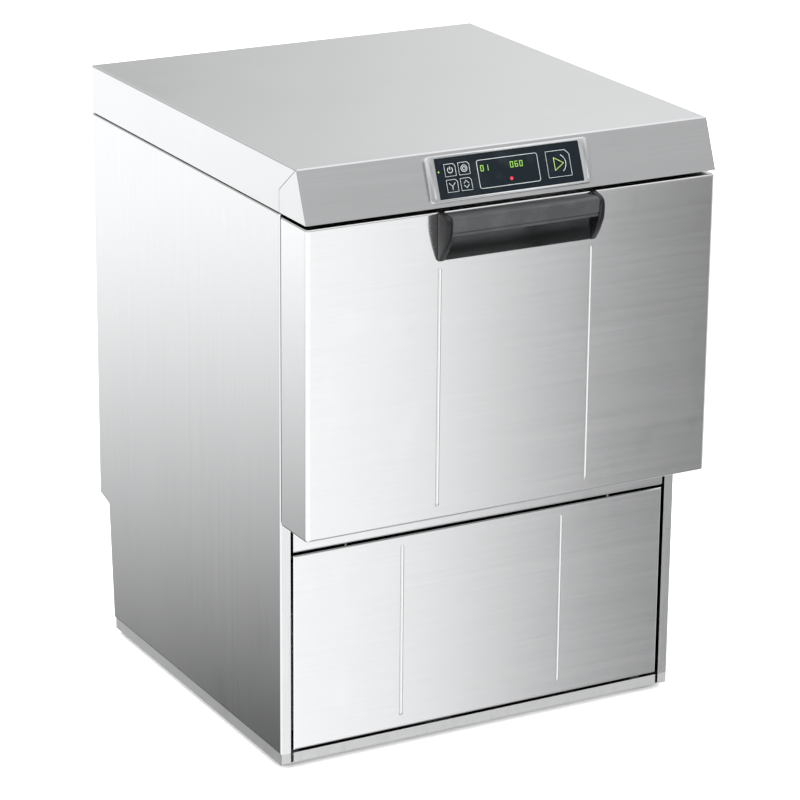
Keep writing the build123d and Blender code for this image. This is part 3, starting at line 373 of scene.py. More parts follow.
class Finishes:
    """Every finish on the machine, painted once when first used."""

    cover = BrushedSteel("Cover steel", Axis.X, (0.60, 0.605, 0.612), 0.24)
    side = BrushedSteel("Side steel", Axis.Z, (0.60, 0.606, 0.612), 0.19)
    front = BrushedSteel("Front steel", Axis.X, (0.62, 0.626, 0.632), 0.15)
    door = BrushedSteel("Door steel", Axis.X, (0.63, 0.636, 0.642), 0.15)
    base = BrushedSteel("Base steel", Axis.X, (0.6, 0.605, 0.61), 0.4, 0.03)
    back = BrushedSteel("Back steel", Axis.Z, (0.42, 0.425, 0.43), 0.42, 0.2)
    chamber = BrushedSteel("Chamber steel", Axis.Z, (0.70, 0.706, 0.712), 0.36)
    arm = BrushedSteel("Spray arm steel", Axis.X, (0.58, 0.585, 0.59), 0.22)
    strainer = BrushedSteel("Strainer steel", Axis.Y, (0.48, 0.485, 0.49), 0.34)
    bezel = PlatedMetal("Bezel satin chrome", (0.66, 0.67, 0.68), 0.2, 0.12)
    screw = PlatedMetal("Screw steel", (0.5, 0.5, 0.5), 0.3, 0.3)
    element = PlatedMetal("Heater sheath", (0.3, 0.27, 0.24), 0.4, 0.8)
    brass = PlatedMetal("Brass", (0.72, 0.52, 0.25), 0.28, 0.5)
    gloss_black = Moulded("Handle gloss black", (0.004, 0.004, 0.005), 0.25, 700.0, 0.00001, 0.12, 0.2)
    grip = Moulded("Grip dark grey", (0.028, 0.029, 0.03), 0.42, 1500.0, 0.00002, 0.1, 0.35)
    window = Moulded("Window black", (0.003, 0.006, 0.009), 0.16, 400.0, 0.000004, 0.1, 0.12)
    rubber = Moulded("Gasket rubber", (0.012, 0.012, 0.013), 0.6, 1200.0, 0.00005)
    black = Moulded("Black plastic", (0.02, 0.02, 0.022), 0.5)
    grey = Moulded("Grey plastic", (0.22, 0.225, 0.23), 0.45)
    motor = Moulded("Motor paint", (0.06, 0.065, 0.075), 0.42, 500.0, 0.00006)
    box = Moulded("Box paint", (0.55, 0.55, 0.53), 0.45, 800.0, 0.00004)
    # Grey print with a painted glow: the printed lines emit light though they are ink, not lamps
    print_grey_painted_glow = Lit("Printed grey with painted glow", (0.62, 0.66, 0.66), 0.12)
    # Green print with a painted glow: the printed triangle emits light though it is ink, not a lamp
    print_green_painted_glow = Lit("Printed green with painted glow", (0.45, 0.62, 0.16), 0.25)
    green_lamp = Lit("Green lamp", (0.20, 0.40, 0.05), 0.75)
    red_lamp = Lit("Red lamp", (0.55, 0.02, 0.04), 0.8)
    board = Moulded("Board lacquer", (0.02, 0.11, 0.04), 0.3, 600.0, 0.00002, 0.4)
    _painted: dict[str, bpy.types.Material] = {}

    @classmethod
    def get(cls, finish: Finish) -> bpy.types.Material:
        """The finish's material, painted on first use."""
        if finish.name not in cls._painted:
            cls._painted[finish.name] = finish.paint()
        return cls._painted[finish.name]


# ---------------------------------------------------------------- CAD nodes that keep their shape

CAD_FINISHES: dict[Finish, tuple[str, ...]] = {
    Finishes.cover: ("top_cover",),
    Finishes.side: ("side_panel_left", "side_panel_right"),
    Finishes.front: ("service_panel", "door_sill"),
    Finishes.door: ("door_outer_skin",),
    Finishes.base: ("base_tray",),
    Finishes.back: (
        "rear_panel_upper", "rear_panel_lower", "hinge_brackets", "door_hinge_plates", "rinse_boiler",
    ),
    Finishes.chamber: (
        "wash_chamber", "chamber_frame", "door_inner_skin", "rack_rail_left", "rack_rail_right",
        "lower_arm_hub", "upper_arm_hub",
    ),
    Finishes.arm: ("lower_wash_arm", "upper_wash_arm", "lower_rinse_arm", "upper_rinse_arm"),
    Finishes.strainer: ("tank_strainer", "suction_filter"),
    Finishes.bezel: ("control_bezel",),
    Finishes.screw: ("panel_screws", "hinge_pins", "door_springs"),
    Finishes.element: ("tank_element", "boiler_element"),
    Finishes.brass: ("water_inlet",),
    Finishes.gloss_black: ("handle_end_left", "handle_end_right"),
    Finishes.grip: ("handle_grip",),
    Finishes.window: ("control_window", "power_key", "program_key", "drain_key", "selector_key", "start_key"),
    Finishes.rubber: ("door_gasket",),
    Finishes.black: (
        "wash_pump_housing", "wash_pump_rotor", "drain_pump_housing", "dosing_pump_rotor", "inlet_valve",
        "cable_gland", "foot_front_left", "foot_front_right", "foot_rear_left", "foot_rear_right",
    ),
    Finishes.grey: ("overflow_pipe", "wash_pipes", "drain_pump_rotor", "dosing_pump_housing", "drain_outlet"),
    Finishes.motor: ("wash_pump_motor",),
    Finishes.box: ("electrical_box",),
    Finishes.board: ("control_board",),
}


def dress_cad_nodes() -> None:
    """Gives every CAD node its finish."""
    for finish, names in CAD_FINISHES.items():
        for name in names:
            node = frame["nodes"][name]
            node.data.materials.clear()
            node.data.materials.append(Finishes.get(finish))
            log.info("CAD node %s wears %s", name, finish.name)


# ---------------------------------------------------------------- bench tools


def clear_selection() -> None:
    """Deselects everything."""
    bpy.ops.object.select_all(action="DESELECT")


def hold(piece: bpy.types.Object) -> None:
    """Makes a piece the only selected one, and the active one."""
    clear_selection()
    piece.select_set(True)
    bpy.context.view_layer.objects.active = piece


def settle(piece: bpy.types.Object) -> bpy.types.Object:
    """Moves a piece's place into its mesh."""
    hold(piece)
    bpy.ops.object.transform_apply(location=True, rotation=True, scale=True)
    return piece


def slab(name: str, low: Sequence[float], high: Sequence[float]) -> bpy.types.Object:
    """A block between two corners.

    Args:
        name: Its name.
        low: Its lowest corner, in metres.
        high: Its highest corner, in metres.

    Returns:
        The block, settled.
    """
    clear_selection()
    middle = [(a + b) / 2 for a, b in zip(low, high)]
    bpy.ops.mesh.primitive_cube_add(size=1.0, location=middle)
    piece = bpy.context.object
    piece.name = name
    piece.scale = [b - a for a, b in zip(low, high)]
    return settle(piece)


def outline(name: str, points: Sequence[Sequence[float]]) -> bpy.types.Object:
    """A flat face with the given corners."""
    clear_selection()
    bpy.ops.mesh.primitive_circle_add(vertices=len(points), radius=1.0, fill_type="NGON")
    piece = bpy.context.object
    piece.name = name
    for vertex, point in zip(piece.data.vertices, points):
        vertex.co = point
    return piece


def drawn_out(piece: bpy.types.Object, by: Sequence[float]) -> bpy.types.Object:
    """Extrudes all of a flat piece into a closed solid with its faces outwards."""
    hold(piece)
    bpy.ops.object.mode_set(mode="EDIT")
    bpy.ops.mesh.select_all(action="SELECT")
    bpy.ops.mesh.extrude_region_move(TRANSFORM_OT_translate={"value": tuple(by)})
    bpy.ops.mesh.select_all(action="SELECT")
    bpy.ops.mesh.normals_make_consistent(inside=False)
    bpy.ops.object.mode_set(mode="OBJECT")
    return piece


def prism(name: str, points: Sequence[Sequence[float]], by: Sequence[float]) -> bpy.types.Object:
    """A solid with the given end face, drawn out by a vector."""
    return drawn_out(outline(name, points), by)


def apply_modifier(piece: bpy.types.Object, kind: str, **settings: object) -> bpy.types.Object:
    """Adds a modifier with its settings and applies it.

    Args:
        piece: The piece to work on.
        kind: The modifier's type.
        **settings: The modifier's settings.

    Returns:
        The piece.
    """
    hold(piece)
    modifier = piece.modifiers.new(kind.title(), kind)
    for key, value in settings.items():
        setattr(modifier, key, value)
    bpy.ops.object.modifier_apply(modifier=modifier.name)
    return piece


def rounded(
    piece: bpy.types.Object, radius: float, segments: int = 3, above: float = 30.0
) -> bpy.types.Object:
    """Rounds every edge that is sharper than an angle in degrees.

    Args:
        piece: The piece.
        radius: How wide the rounding is, in metres.
        segments: Facets across the rounding.
        above: The angle.

    Returns:
        The piece.
    """
    limits = {"limit_method": "ANGLE", "angle_limit": radians(above)}
    return apply_modifier(piece, "BEVEL", width=radius, segments=segments, **limits)


def cut_away(piece: bpy.types.Object, *cutters: bpy.types.Object) -> bpy.types.Object:
    """Takes the cutters out of a piece and throws them away."""
    for cutter in cutters:
        apply_modifier(piece, "BOOLEAN", operation="DIFFERENCE", solver="EXACT", object=cutter)
        bpy.data.objects.remove(cutter)
    return piece


def joined(name: str, pieces: Sequence[bpy.types.Object]) -> bpy.types.Object:
    """Joins pieces into one object."""
    clear_selection()
    for piece in pieces:
        piece.select_set(True)
    bpy.context.view_layer.objects.active = pieces[0]
    bpy.ops.object.join()
    pieces[0].name = name
    return pieces[0]


def turned(
    name: str, centre: Sequence[float], profile: Sequence[tuple[float, float]], axis: Axis, steps: int = 32
) -> bpy.types.Object:
    """A turned part: a profile of (radius, height) spun about an axis through a point.

    Args:
        name: Its name.
        centre: The point that heights are counted from.
        profile: Closed outline, on the axis at both ends unless the part is a ring.
        axis: The axis it is spun about.
        steps: Facets round the axis.

    Returns:
        The closed solid.
    """
    clear_selection()
    bpy.ops.mesh.primitive_circle_add(vertices=len(profile), radius=1.0, fill_type="NOTHING")
    piece = bpy.context.object
    piece.name = name
    others = [i for i in range(3) if i != axis.value]
    for vertex, (radius, height) in zip(piece.data.vertices, profile):
        place = [0.0, 0.0, 0.0]
        place[others[0]] = radius
        place[axis.value] = height
        vertex.co = place
    way = [0.0, 0.0, 0.0]
    way[axis.value] = 1.0
    bpy.ops.object.mode_set(mode="EDIT")
    bpy.ops.mesh.select_all(action="SELECT")
    bpy.ops.mesh.spin(steps=steps, angle=2 * pi, center=(0.0, 0.0, 0.0), axis=way, dupli=False)
    bpy.ops.mesh.select_all(action="SELECT")
    bpy.ops.mesh.remove_doubles(threshold=0.000005)
    bpy.ops.mesh.dissolve_degenerate(threshold=0.000001)
    bpy.ops.mesh.select_all(action="SELECT")
    bpy.ops.mesh.normals_make_consistent(inside=False)
    bpy.ops.object.mode_set(mode="OBJECT")
    piece.location = centre
    return settle(piece)


def wire_form(
    name: str, points: Sequence[Sequence[float]], radius: float, closed: bool = False, sides: int = 3
) -> bpy.types.Object:
    """A bent wire or printed line through points, as a closed tube mesh.

    Args:
        name: Its name.
        points: The corners of its path.
        radius: Half its thickness.
        closed: Whether it runs back to its start.
        sides: Smoothness round the wire.

    Returns:
        The tube.
    """
    clear_selection()
    curve = bpy.data.curves.new(name, "CURVE")
    curve.dimensions = "3D"
    curve.bevel_depth = radius
    curve.bevel_resolution = sides
    curve.use_fill_caps = not closed
    spline = curve.splines.new("POLY")
    spline.points.add(len(points) - 1)
    for target, point in zip(spline.points, points):
        target.co = (*point, 1.0)
    spline.use_cyclic_u = closed
    piece = bpy.data.objects.new(name, curve)
    bpy.context.scene.collection.objects.link(piece)
    hold(piece)
    bpy.ops.object.convert(target="MESH")
    return bpy.context.object


def corner_arcs(width: float, height: float, radius: float, steps: int = 5) -> list[tuple[float, float]]:
    """Corners of a rounded rectangle about the origin, going round once."""
    points = []
    for quarter, (side, rise) in enumerate(((1, 1), (-1, 1), (-1, -1), (1, -1))):
        centre = (side * (width / 2 - radius), rise * (height / 2 - radius))
        for step in range(steps + 1):
            angle = (quarter + step / steps) * pi / 2
            points.append((centre[0] + radius * cos(angle), centre[1] + radius * sin(angle)))
    return points


def arc(
    centre: tuple[float, float], radius: float, start: float, end: float, steps: int = 14
) -> list[tuple[float, float]]:
    """Points along an arc.

    Args:
        centre: Its centre.
        radius: Its radius.
        start: The angle it starts at, in degrees.
        end: The angle it ends at, in degrees.
        steps: How many pieces it is cut into.

    Returns:
        One point more than there are pieces.
    """
    turns = [radians(start + (end - start) * step / steps) for step in range(steps + 1)]
    return [(centre[0] + radius * cos(turn), centre[1] + radius * sin(turn)) for turn in turns]


def hand_over(
    piece: bpy.types.Object,
    body: str,
    finish: Finish,
    replaces: Sequence[str] = (),
    smooth: float = 35.0,
) -> None:
    """Finishes a piece: shading, material, body and the CAD nodes it stands for.

    Args:
        piece: The piece.
        body: The CAD body that it rides on.
        finish: Its finish.
        replaces: The CAD nodes that it stands for.
        smooth: Edges sharper than this many degrees stay sharp.
    """
    settle(piece)
    bpy.ops.object.shade_smooth_by_angle(angle=radians(smooth))
    piece.data.materials.clear()
    piece.data.materials.append(Finishes.get(finish))
    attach(piece, body)
    if replaces:
        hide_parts(*replaces)
    log.info("piece %s rides on %s", piece.name, body)


def span(node: str) -> tuple[Vector, Vector]:
    """Lowest and highest corner of a CAD node."""
    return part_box(node)


def centre_of(node: str) -> Vector:
    """Middle of a CAD node's box."""
    low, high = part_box(node)
    return (low + high) / 2


def press_axis(joint: str) -> Vector:
    """The direction that a joint moves its body in."""
    return next(Vector(entry["axis"]) for entry in frame["joints"] if entry["name"] == joint)


# ---------------------------------------------------------------- control unit


class Mark(Enum):
    """What is printed on a key."""

    POWER = "power"
    PROGRAM = "program"
    DRAIN = "drain"
    SELECT = "select"
    START = "start"


@dataclass
class ControlUnit:
    """Bezel, window print, lamps, display and key marks on the slanted fascia.

    Sizes are in metres. Places on the fascia are (across, up the slope) from the window's middle.
    """

    bezel_width: float = 238 * MM
    bezel_corner: float = 6 * MM
    bezel_thick: float = 4 * MM
    bezel_sunk: float = 1.1 * MM
    bezel_round: float = 1.1 * MM
    groove_offset: float = 6.2 * MM
    groove_half: float = 1.1 * MM
    groove_deep: float = 0.5 * MM
    groove_share: float = 0.4
    window_thick: float = 3 * MM
    window_margin: float = 0.3 * MM
    key_thick: float = 4.5 * MM
    key_proud: float = 0.3 * MM
    key_inset: float = 1.2 * MM
    clear: float = 10 * MM
    line: float = 0.28 * MM
    display: tuple[float, float, float, float] = (-1.5 * MM, -0.5 * MM, 88 * MM, 36 * MM)
    digit: tuple[float, float] = (4.4 * MM, 7.6 * MM)
    digit_bar: float = 0.75 * MM
    digit_proud: float = 0.12 * MM
    mains_lamp: tuple[float, float] = (-101.0 * MM, 9.0 * MM)
    keys: dict[str, Mark] = field(
        default_factory=lambda: {
            "power_key": Mark.POWER,
            "program_key": Mark.PROGRAM,
            "drain_key": Mark.DRAIN,
            "selector_key": Mark.SELECT,
            "start_key": Mark.START,
        }
    )

    def __post_init__(self) -> None:
        """Works out the fascia's plane from the keys' travel and the window's box."""
        outward = -press_axis("power_key_press")
        across = Vector((1.0, 0.0, 0.0))
        slope = outward.cross(across)
        self.middle = centre_of("control_window")
        self.turn = Matrix((across, slope, outward)).transposed().to_4x4()
        low, high = span("control_window")
        rise = (high - low).z
        self.window = ((high - low).x, (rise - self.window_thick * outward.z) / slope.z)

    def lay(self, piece: bpy.types.Object, lift: float) -> bpy.types.Object:
        """Puts a piece that was drawn flat onto the fascia, so far above the window's middle plane."""
        shift = Matrix.Translation((0.0, 0.0, lift))
        piece.matrix_world = Matrix.Translation(self.middle) @ self.turn @ shift
        return settle(piece)

    def flat(self, node: str) -> tuple[float, float, float, float]:
        """A key's middle and size, measured in the fascia's plane."""
        low, high = span(node)
        offset = self.turn.to_3x3().transposed() @ (centre_of(node) - self.middle)
        slope = self.turn.col[1].to_3d()
        outward = self.turn.col[2].to_3d()
        tall = ((high - low).z - self.key_thick * outward.z) / slope.z
        return offset.x, offset.y, (high - low).x, tall

    def build(self) -> None:
        """Makes every piece of the control unit."""
        self._bezel()
        self._display()
        self._lamps()
        for node, mark in self.keys.items():
            self._key_print(node, mark)

    def _bezel(self) -> None:
        """The satin frame: broad at its ends, thin along its edges, with soft chamfers."""
        low, high = span("control_bezel")
        outward = self.turn.col[2].to_3d()
        slope = self.turn.col[1].to_3d()
        tall = ((high - low).z - self.bezel_thick * outward.z) / slope.z
        points = [(x, y, 0.0) for x, y in corner_arcs(self.bezel_width, tall, self.bezel_corner)]
        bezel = prism("bezel_frame", points, (0.0, 0.0, self.bezel_thick))
        hole_x = self.window[0] / 2 + self.window_margin
        hole_y = self.window[1] / 2 + self.window_margin
        hole = slab("window_hole", (-hole_x, -hole_y, -self.clear), (hole_x, hole_y, self.clear))
        cut_away(bezel, hole)
        rounded(bezel, self.bezel_round, 3, 50.0)
        for side in (-1, 1):
            x = side * (hole_x + self.groove_offset)
            reach = tall * self.groove_share
            low_corner = (x - self.groove_half, -reach, self.bezel_thick - self.groove_deep)
            groove = slab("end_groove", low_corner, (x + self.groove_half, reach, self.clear))
            rounded(groove, 0.6 * MM, 2)
            cut_away(bezel, groove)
        frame_piece = self.lay(bezel, -self.bezel_sunk)
        hand_over(frame_piece, "cabinet", Finishes.bezel, ["control_bezel"])

    def _ring(self, name: str, x: float, y: float, wide: float, tall: float, corner: float) -> bpy.types.Object:
        """A printed rounded outline about a point."""
        points = [(x + a, y + b, 0.0) for a, b in corner_arcs(wide, tall, corner, 4)]
        return wire_form(name, points, self.line, True, 1)

    def _digit(self, x: float, y: float, figure: str) -> list[bpy.types.Object]:
        """Seven-bar figure with its lower left corner at a point."""
        lit = {"0": "abcdef", "1": "bc", "4": "bcfg", "5": "acdfg", "6": "acdefg", "8": "abcdefg"}[figure]
        wide, tall = self.digit
        half = tall / 2
        bar = self.digit_bar
        places = {
            "a": (0.0, tall - bar, wide, tall),
            "g": (0.0, half - bar / 2, wide, half + bar / 2),
            "d": (0.0, 0.0, wide, bar),
            "f": (0.0, half, bar, tall),
            "b": (wide - bar, half, wide, tall),
            "e": (0.0, 0.0, bar, half),
            "c": (wide - bar, 0.0, wide, half),
        }
        bars = []
        for key in lit:
            x0, y0, x1, y1 = places[key]
            bars.append(slab("bar", (x + x0, y + y0, 0.0), (x + x1, y + y1, self.digit_proud)))
        return bars

    def _display(self) -> None:
        """The display's outline, its green figures and its red lamp."""
        x, y, wide, tall = self.display
        face = self.window_thick / 2
        ring = self._ring("display_outline", x, y, wide, tall, 3 * MM)
        # The display outline is grey print with a painted glow
        hand_over(self.lay(ring, face), "cabinet", Finishes.print_grey_painted_glow)
        bars = []
        step = self.digit[0] * 1.55
        for index, figure in enumerate("01"):
            bars += self._digit(x - wide * 0.45 + index * step, y + tall * 0.10, figure)
        for index, figure in enumerate("060"):
            bars += self._digit(x + wide * 0.04 + index * step, y + tall * 0.10, figure)
        figures = joined("display_figures", bars)
        hand_over(self.lay(figures, face), "cabinet", Finishes.green_lamp)
        dome = [(0, 0), (2.2 * MM, 0), (1.9 * MM, 0.3 * MM), (0, 0.4 * MM)]
        dot = turned("program_lamp", (x + wide * 0.03, y - tall * 0.28, 0.0), dome, Axis.Z, 16)
        hand_over(self.lay(dot, face), "cabinet", Finishes.red_lamp)

    def _lamps(self) -> None:
        """The small green mains lamp at the left."""
        dome = [(0, 0), (1.1 * MM, 0), (0.8 * MM, 0.35 * MM), (0, 0.5 * MM)]
        lamp = turned("mains_lamp", (*self.mains_lamp, 0.0), dome, Axis.Z, 16)
        hand_over(self.lay(lamp, self.window_thick / 2), "cabinet", Finishes.green_lamp)

    def _key_print(self, node: str, mark: Mark) -> None:
        """A key's outline with its folded corner, and its mark."""
        x, y, wide, tall = self.flat(node)
        fold = min(wide, tall) * 0.16
        right, left = x + wide / 2 - self.key_inset, x - wide / 2 + self.key_inset
        top, foot = y + tall / 2 - self.key_inset, y - tall / 2 + self.key_inset
        corners = [(left, foot), (right, foot), (right, top - fold), (right - fold, top), (left, top)]
        lines = [wire_form("outline", [(a, b, 0.0) for a, b in corners], self.line, True, 1)]
        for path, closed in self._mark_paths(mark, x, y, min(wide, tall)):
            lines.append(wire_form("mark", [(a, b, 0.0) for a, b in path], self.line * 1.15, closed, 1))
        lift = self.window_thick / 2 + self.key_proud
        if mark is Mark.START:
            r = min(wide, tall) * 0.2
            corners = [(x - r * 0.9, y + r * 1.15, 0.0), (x - r * 0.9, y - r * 1.15, 0.0), (x + r, y, 0.0)]
            triangle = wire_form(node + "_triangle", corners, self.line * 2.4, True, 1)
            # The start triangle is green print with a painted glow
            hand_over(self.lay(triangle, lift), node, Finishes.print_green_painted_glow)
        # The key's outline and mark are grey print with a painted glow
        hand_over(self.lay(joined(node + "_print", lines), lift), node, Finishes.print_grey_painted_glow)

    def _mark_paths(
        self, mark: Mark, x: float, y: float, size: float
    ) -> list[tuple[list[tuple[float, float]], bool]]:
        """The lines of a key's mark.

        Args:
            mark: Which mark.
            x: The key's middle, across.
            y: The key's middle, up the slope.
            size: The key's shorter side.

        Returns:
            Paths, each with whether it is closed.
        """
        r = size * 0.2
        if mark is Mark.POWER:
            return [(arc((x, y), r, 120, 420), False), ([(x, y), (x, y + r * 1.25)], False)]
        if mark is Mark.PROGRAM:
            return [(arc((x, y), r * 1.2, 0, 360)[:-1], True), (arc((x, y), r * 0.6, 0, 360)[:-1], True)]
        if mark is Mark.DRAIN:
            funnel = [(x - r * 1.2, y + r), (x, y - r * 0.2), (x + r * 1.2, y + r)]
            return [(funnel, False), ([(x, y - r * 0.2), (x, y - r * 1.3)], False)]
        if mark is Mark.SELECT:
            up = [(x - r, y + r * 0.3), (x, y + r * 1.3), (x + r, y + r * 0.3)]
            down = [(x - r, y - r * 0.3), (x, y - r * 1.3), (x + r, y - r * 0.3)]
            return [(up, False), (down, False)]
        return [(arc((x - r * 0.3, y), r * 1.75, -55, 60), False)]


# ---------------------------------------------------------------- handle and door


@dataclass
class Handle:
    """Two glossy black ends and the dark grip between them."""

    tip_share: float = 0.92
    edge: float = 1.0 * MM
    ends: tuple[str, str] = ("handle_end_left", "handle_end_right")

    def build(self) -> None:
        """Makes both ends and the grip."""
        for node in self.ends:
            self._end(node)
        self._grip()

    def _end(self, node: str) -> None:
        """One end: a wedge-shaped fin, thinner towards its lower tip."""
        low, high = span(node)
        reach, height = (high - low).y, (high - low).z
        shape = (
            (0.0, 1.0), (-0.30, 0.985), (-0.72, 0.945), (-0.90, 0.90), (-1.0, 0.80), (-0.985, 0.66),
            (-0.93, 0.50), (-0.62, 0.24), (-0.30, 0.06), (-0.17, 0.01), (0.0, 0.0),
        )
        points = [(low.x, high.y + reach * a, low.z + height * b) for a, b in shape]
        fin = prism(node + "_fin", points, ((high - low).x, 0.0, 0.0))
        middle = (low.x + high.x) / 2
        for vertex in fin.data.vertices:
            share = min(1.0, self.tip_share + (1.0 - self.tip_share) * (vertex.co.z - low.z) / (height * 0.6))
            vertex.co.x = middle + (vertex.co.x - middle) * share
        rounded(fin, self.edge, 3, 20.0)
        hand_over(fin, "door", Finishes.gloss_black, [node])

    def _grip(self) -> None:
        """The grip: a hollow-backed bar with a full front, a top lip and a lower groove."""
        low, high = span("handle_grip")
        deep, tall = (high - low).y, (high - low).z
        shape = (
            (1.0, 0.93), (0.86, 1.0), (0.24, 1.0), (0.10, 0.97), (0.02, 0.90), (0.0, 0.80), (0.0, 0.36),
            (0.035, 0.25), (0.085, 0.235), (0.085, 0.20), (0.04, 0.18), (0.07, 0.10), (0.16, 0.03), (0.30, 0.0),
            (0.62, 0.0), (0.80, 0.06), (0.88, 0.20), (0.90, 0.55), (1.0, 0.62),
        )
        points = [(low.x, low.y + deep * a, low.z + tall * b) for a, b in shape]
        bar = prism("grip_bar", points, ((high - low).x, 0.0, 0.0))
        rounded(bar, 0.5 * MM, 2, 22.0)
        hand_over(bar, "door", Finishes.grip, ["handle_grip"])


@dataclass
class Gasket:
    """The door seal: a flat foot with a bulb and a thin lip."""

    width: float = 12 * MM
    foot: float = 1.6 * MM
    bulb: float = 1.45 * MM
    lip: float = 0.6 * MM
    corner: float = 16 * MM

    def build(self) -> None:
        """Makes the seal as one piece."""
        low, high = span("door_gasket")
        middle = (low + high) / 2
        size = high - low

        def loop(inset: float, y: float) -> list[Triple]:
            """A rounded rectangle inside the seal's outline."""
            corners = corner_arcs(size.x - 2 * inset, size.z - 2 * inset, self.corner - inset, 6)
            return [(middle.x + a, y, middle.z + b) for a, b in corners]

        foot = prism("seal_foot", loop(0.0, low.y), (0.0, self.foot, 0.0))
        hole = prism("seal_hole", loop(self.width, low.y - 0.01), (0.0, 0.03, 0.0))
        cut_away(foot, hole)
        rounded(foot, 0.4 * MM, 2, 60.0)
        bulb = wire_form("seal_bulb", loop(self.width * 0.42, high.y - self.bulb), self.bulb, True, 5)
        lip = wire_form("seal_lip", loop(self.width * 0.8, high.y - 2.2 * self.lip), self.lip * 1.8, True, 3)
        seal = joined("door_seal", [foot, bulb, lip])
        hand_over(seal, "door", Finishes.rubber, ["door_gasket"], 45.0)


# ---------------------------------------------------------------- wash system


@dataclass
class SprayArms:
    """Stamped wash arms and thin rinse arms, above and below the rack."""

    tip_half: float = 13 * MM
    waist_half: float = 17 * MM
    hub_half: float = 31 * MM
    nozzles: int = 6
    nozzle: float = 4.2 * MM
    nozzle_height: float = 2.0 * MM
    stagger: float = 8 * MM
    shell_gap: float = 1.0 * MM
    shell_round: float = 4.2 * MM
    wash_bore: float = 8.2 * MM
    rinse_bore: float = 8.1 * MM
    plug_length: float = 9.6 * MM
    plug_overlap: float = 8 * MM
    fans: int = 5
    fan_half: tuple[float, float] = (1.6 * MM, 3 * MM)

    def build(self) -> None:
        """Makes all four arms."""
        for level, up in (("lower", 1), ("upper", -1)):
            self._wash_arm(level + "_wash_arm", up)
            self._rinse_arm(level + "_rinse_arm", up)

    def _wash_arm(self, node: str, up: int) -> None:
        """One stamped arm with a bulged hub and ringed nozzles."""
        low, high = span(node)
        middle = (low + high) / 2
        reach = (high - low).x / 2
        base = low.z if up > 0 else low.z + self.shell_gap
        thick = (high - low).z - self.shell_gap
        tip = arc((reach - self.tip_half, 0.0), self.tip_half, -90, 90, 8)
        flank = [(reach * 0.45, self.waist_half), (self.hub_half * 1.5, self.waist_half * 1.02)]
        hub = arc((0.0, 0.0), self.hub_half, 40, 90, 4)
        right = tip + flank + hub + [(-x, y) for x, y in reversed(hub[:-1])]
        left = [(-x, y) for x, y in reversed(flank)] + [(-x, y) for x, y in reversed(tip)]
        lower = [(-x, -y) for x, y in flank] + [(-x, -y) for x, y in hub]
        lower += [(x, -y) for x, y in reversed(hub[:-1])] + [(x, -y) for x, y in reversed(flank)]
        ring = right + left + lower
        points = [(middle.x + x, middle.y + y, base) for x, y in ring]
        arm = prism(node + "_shell", points, (0.0, 0.0, thick))
        rounded(arm, self.shell_round, 4, 50.0)
        rod = [(0, -10 * MM), (self.wash_bore, -10 * MM), (self.wash_bore, 40 * MM), (0, 40 * MM)]
        cut_away(arm, turned("bore", (middle.x, middle.y, low.z), rod, Axis.Z, 24))
        extras = [arm]
        face = high.z if up > 0 else low.z
        for index in range(self.nozzles):
            x = reach * (0.26 + 0.68 * index / (self.nozzles - 1))
            for side in (-1, 1):
                offset = (index % 2 - 0.5) * self.stagger
                height = up * self.nozzle_height
                place = (middle.x + side * x, middle.y + offset * side, face - height)
                cup = [
                    (0, 0), (self.nozzle, 0), (self.nozzle * 0.8, height),
                    (1.6 * MM, height), (1.2 * MM, height * 0.3), (0, height * 0.3),
                ]
                extras.append(turned("nozzle", place, cup, Axis.Z, 14))
        whole = joined(node + "_stamped", extras)
        hand_over(whole, node, Finishes.arm, [node])

    def _rinse_arm(self, node: str, up: int) -> None:
        """One thin rinse tube with flat fan nozzles, end plugs and a chamfered hub."""
        low, high = span(node)
        middle = (low + high) / 2
        radius = (high - low).z / 2
        reach = (high - low).y / 2
        hub = (high - low).x / 2
        parts = []
        for side in (-1, 1):
            near = middle.y + side * hub * 0.7
            far = middle.y + side * (reach - 2 * MM)
            run = [(middle.x, near, middle.z), (middle.x, far, middle.z)]
            parts.append(wire_form("tube", run, radius * 0.92, False, 5))
            plug = [
                (0, 0), (radius, 0), (radius, self.plug_overlap),
                (radius * 0.7, self.plug_length), (0, self.plug_length),
            ]
            start = (middle.x, far - side * self.plug_overlap, middle.z)
            parts.append(turned("plug", start, [(r, side * h) for r, h in plug], Axis.Y, 16))
        boss = [
            (self.rinse_bore, -radius), (hub * 0.94, -radius), (hub, -radius * 0.6),
            (hub, radius * 0.6), (hub * 0.94, radius), (self.rinse_bore, radius),
        ]
        parts.append(turned("boss", middle, boss, Axis.Z, 36))
        half_x, half_y = self.fan_half
        for index in range(self.fans):
            for side in (-1, 1):
                y = middle.y + side * (reach * (0.2 + 0.17 * index) + 4 * MM)
                foot = (middle.x - half_x, y - half_y, middle.z)
                nib = slab("fan", foot, (middle.x + half_x, y + half_y, middle.z + up * radius))
                parts.append(rounded(nib, 0.7 * MM, 2))
        hand_over(joined(node + "_tube", parts), node, Finishes.arm, [node])


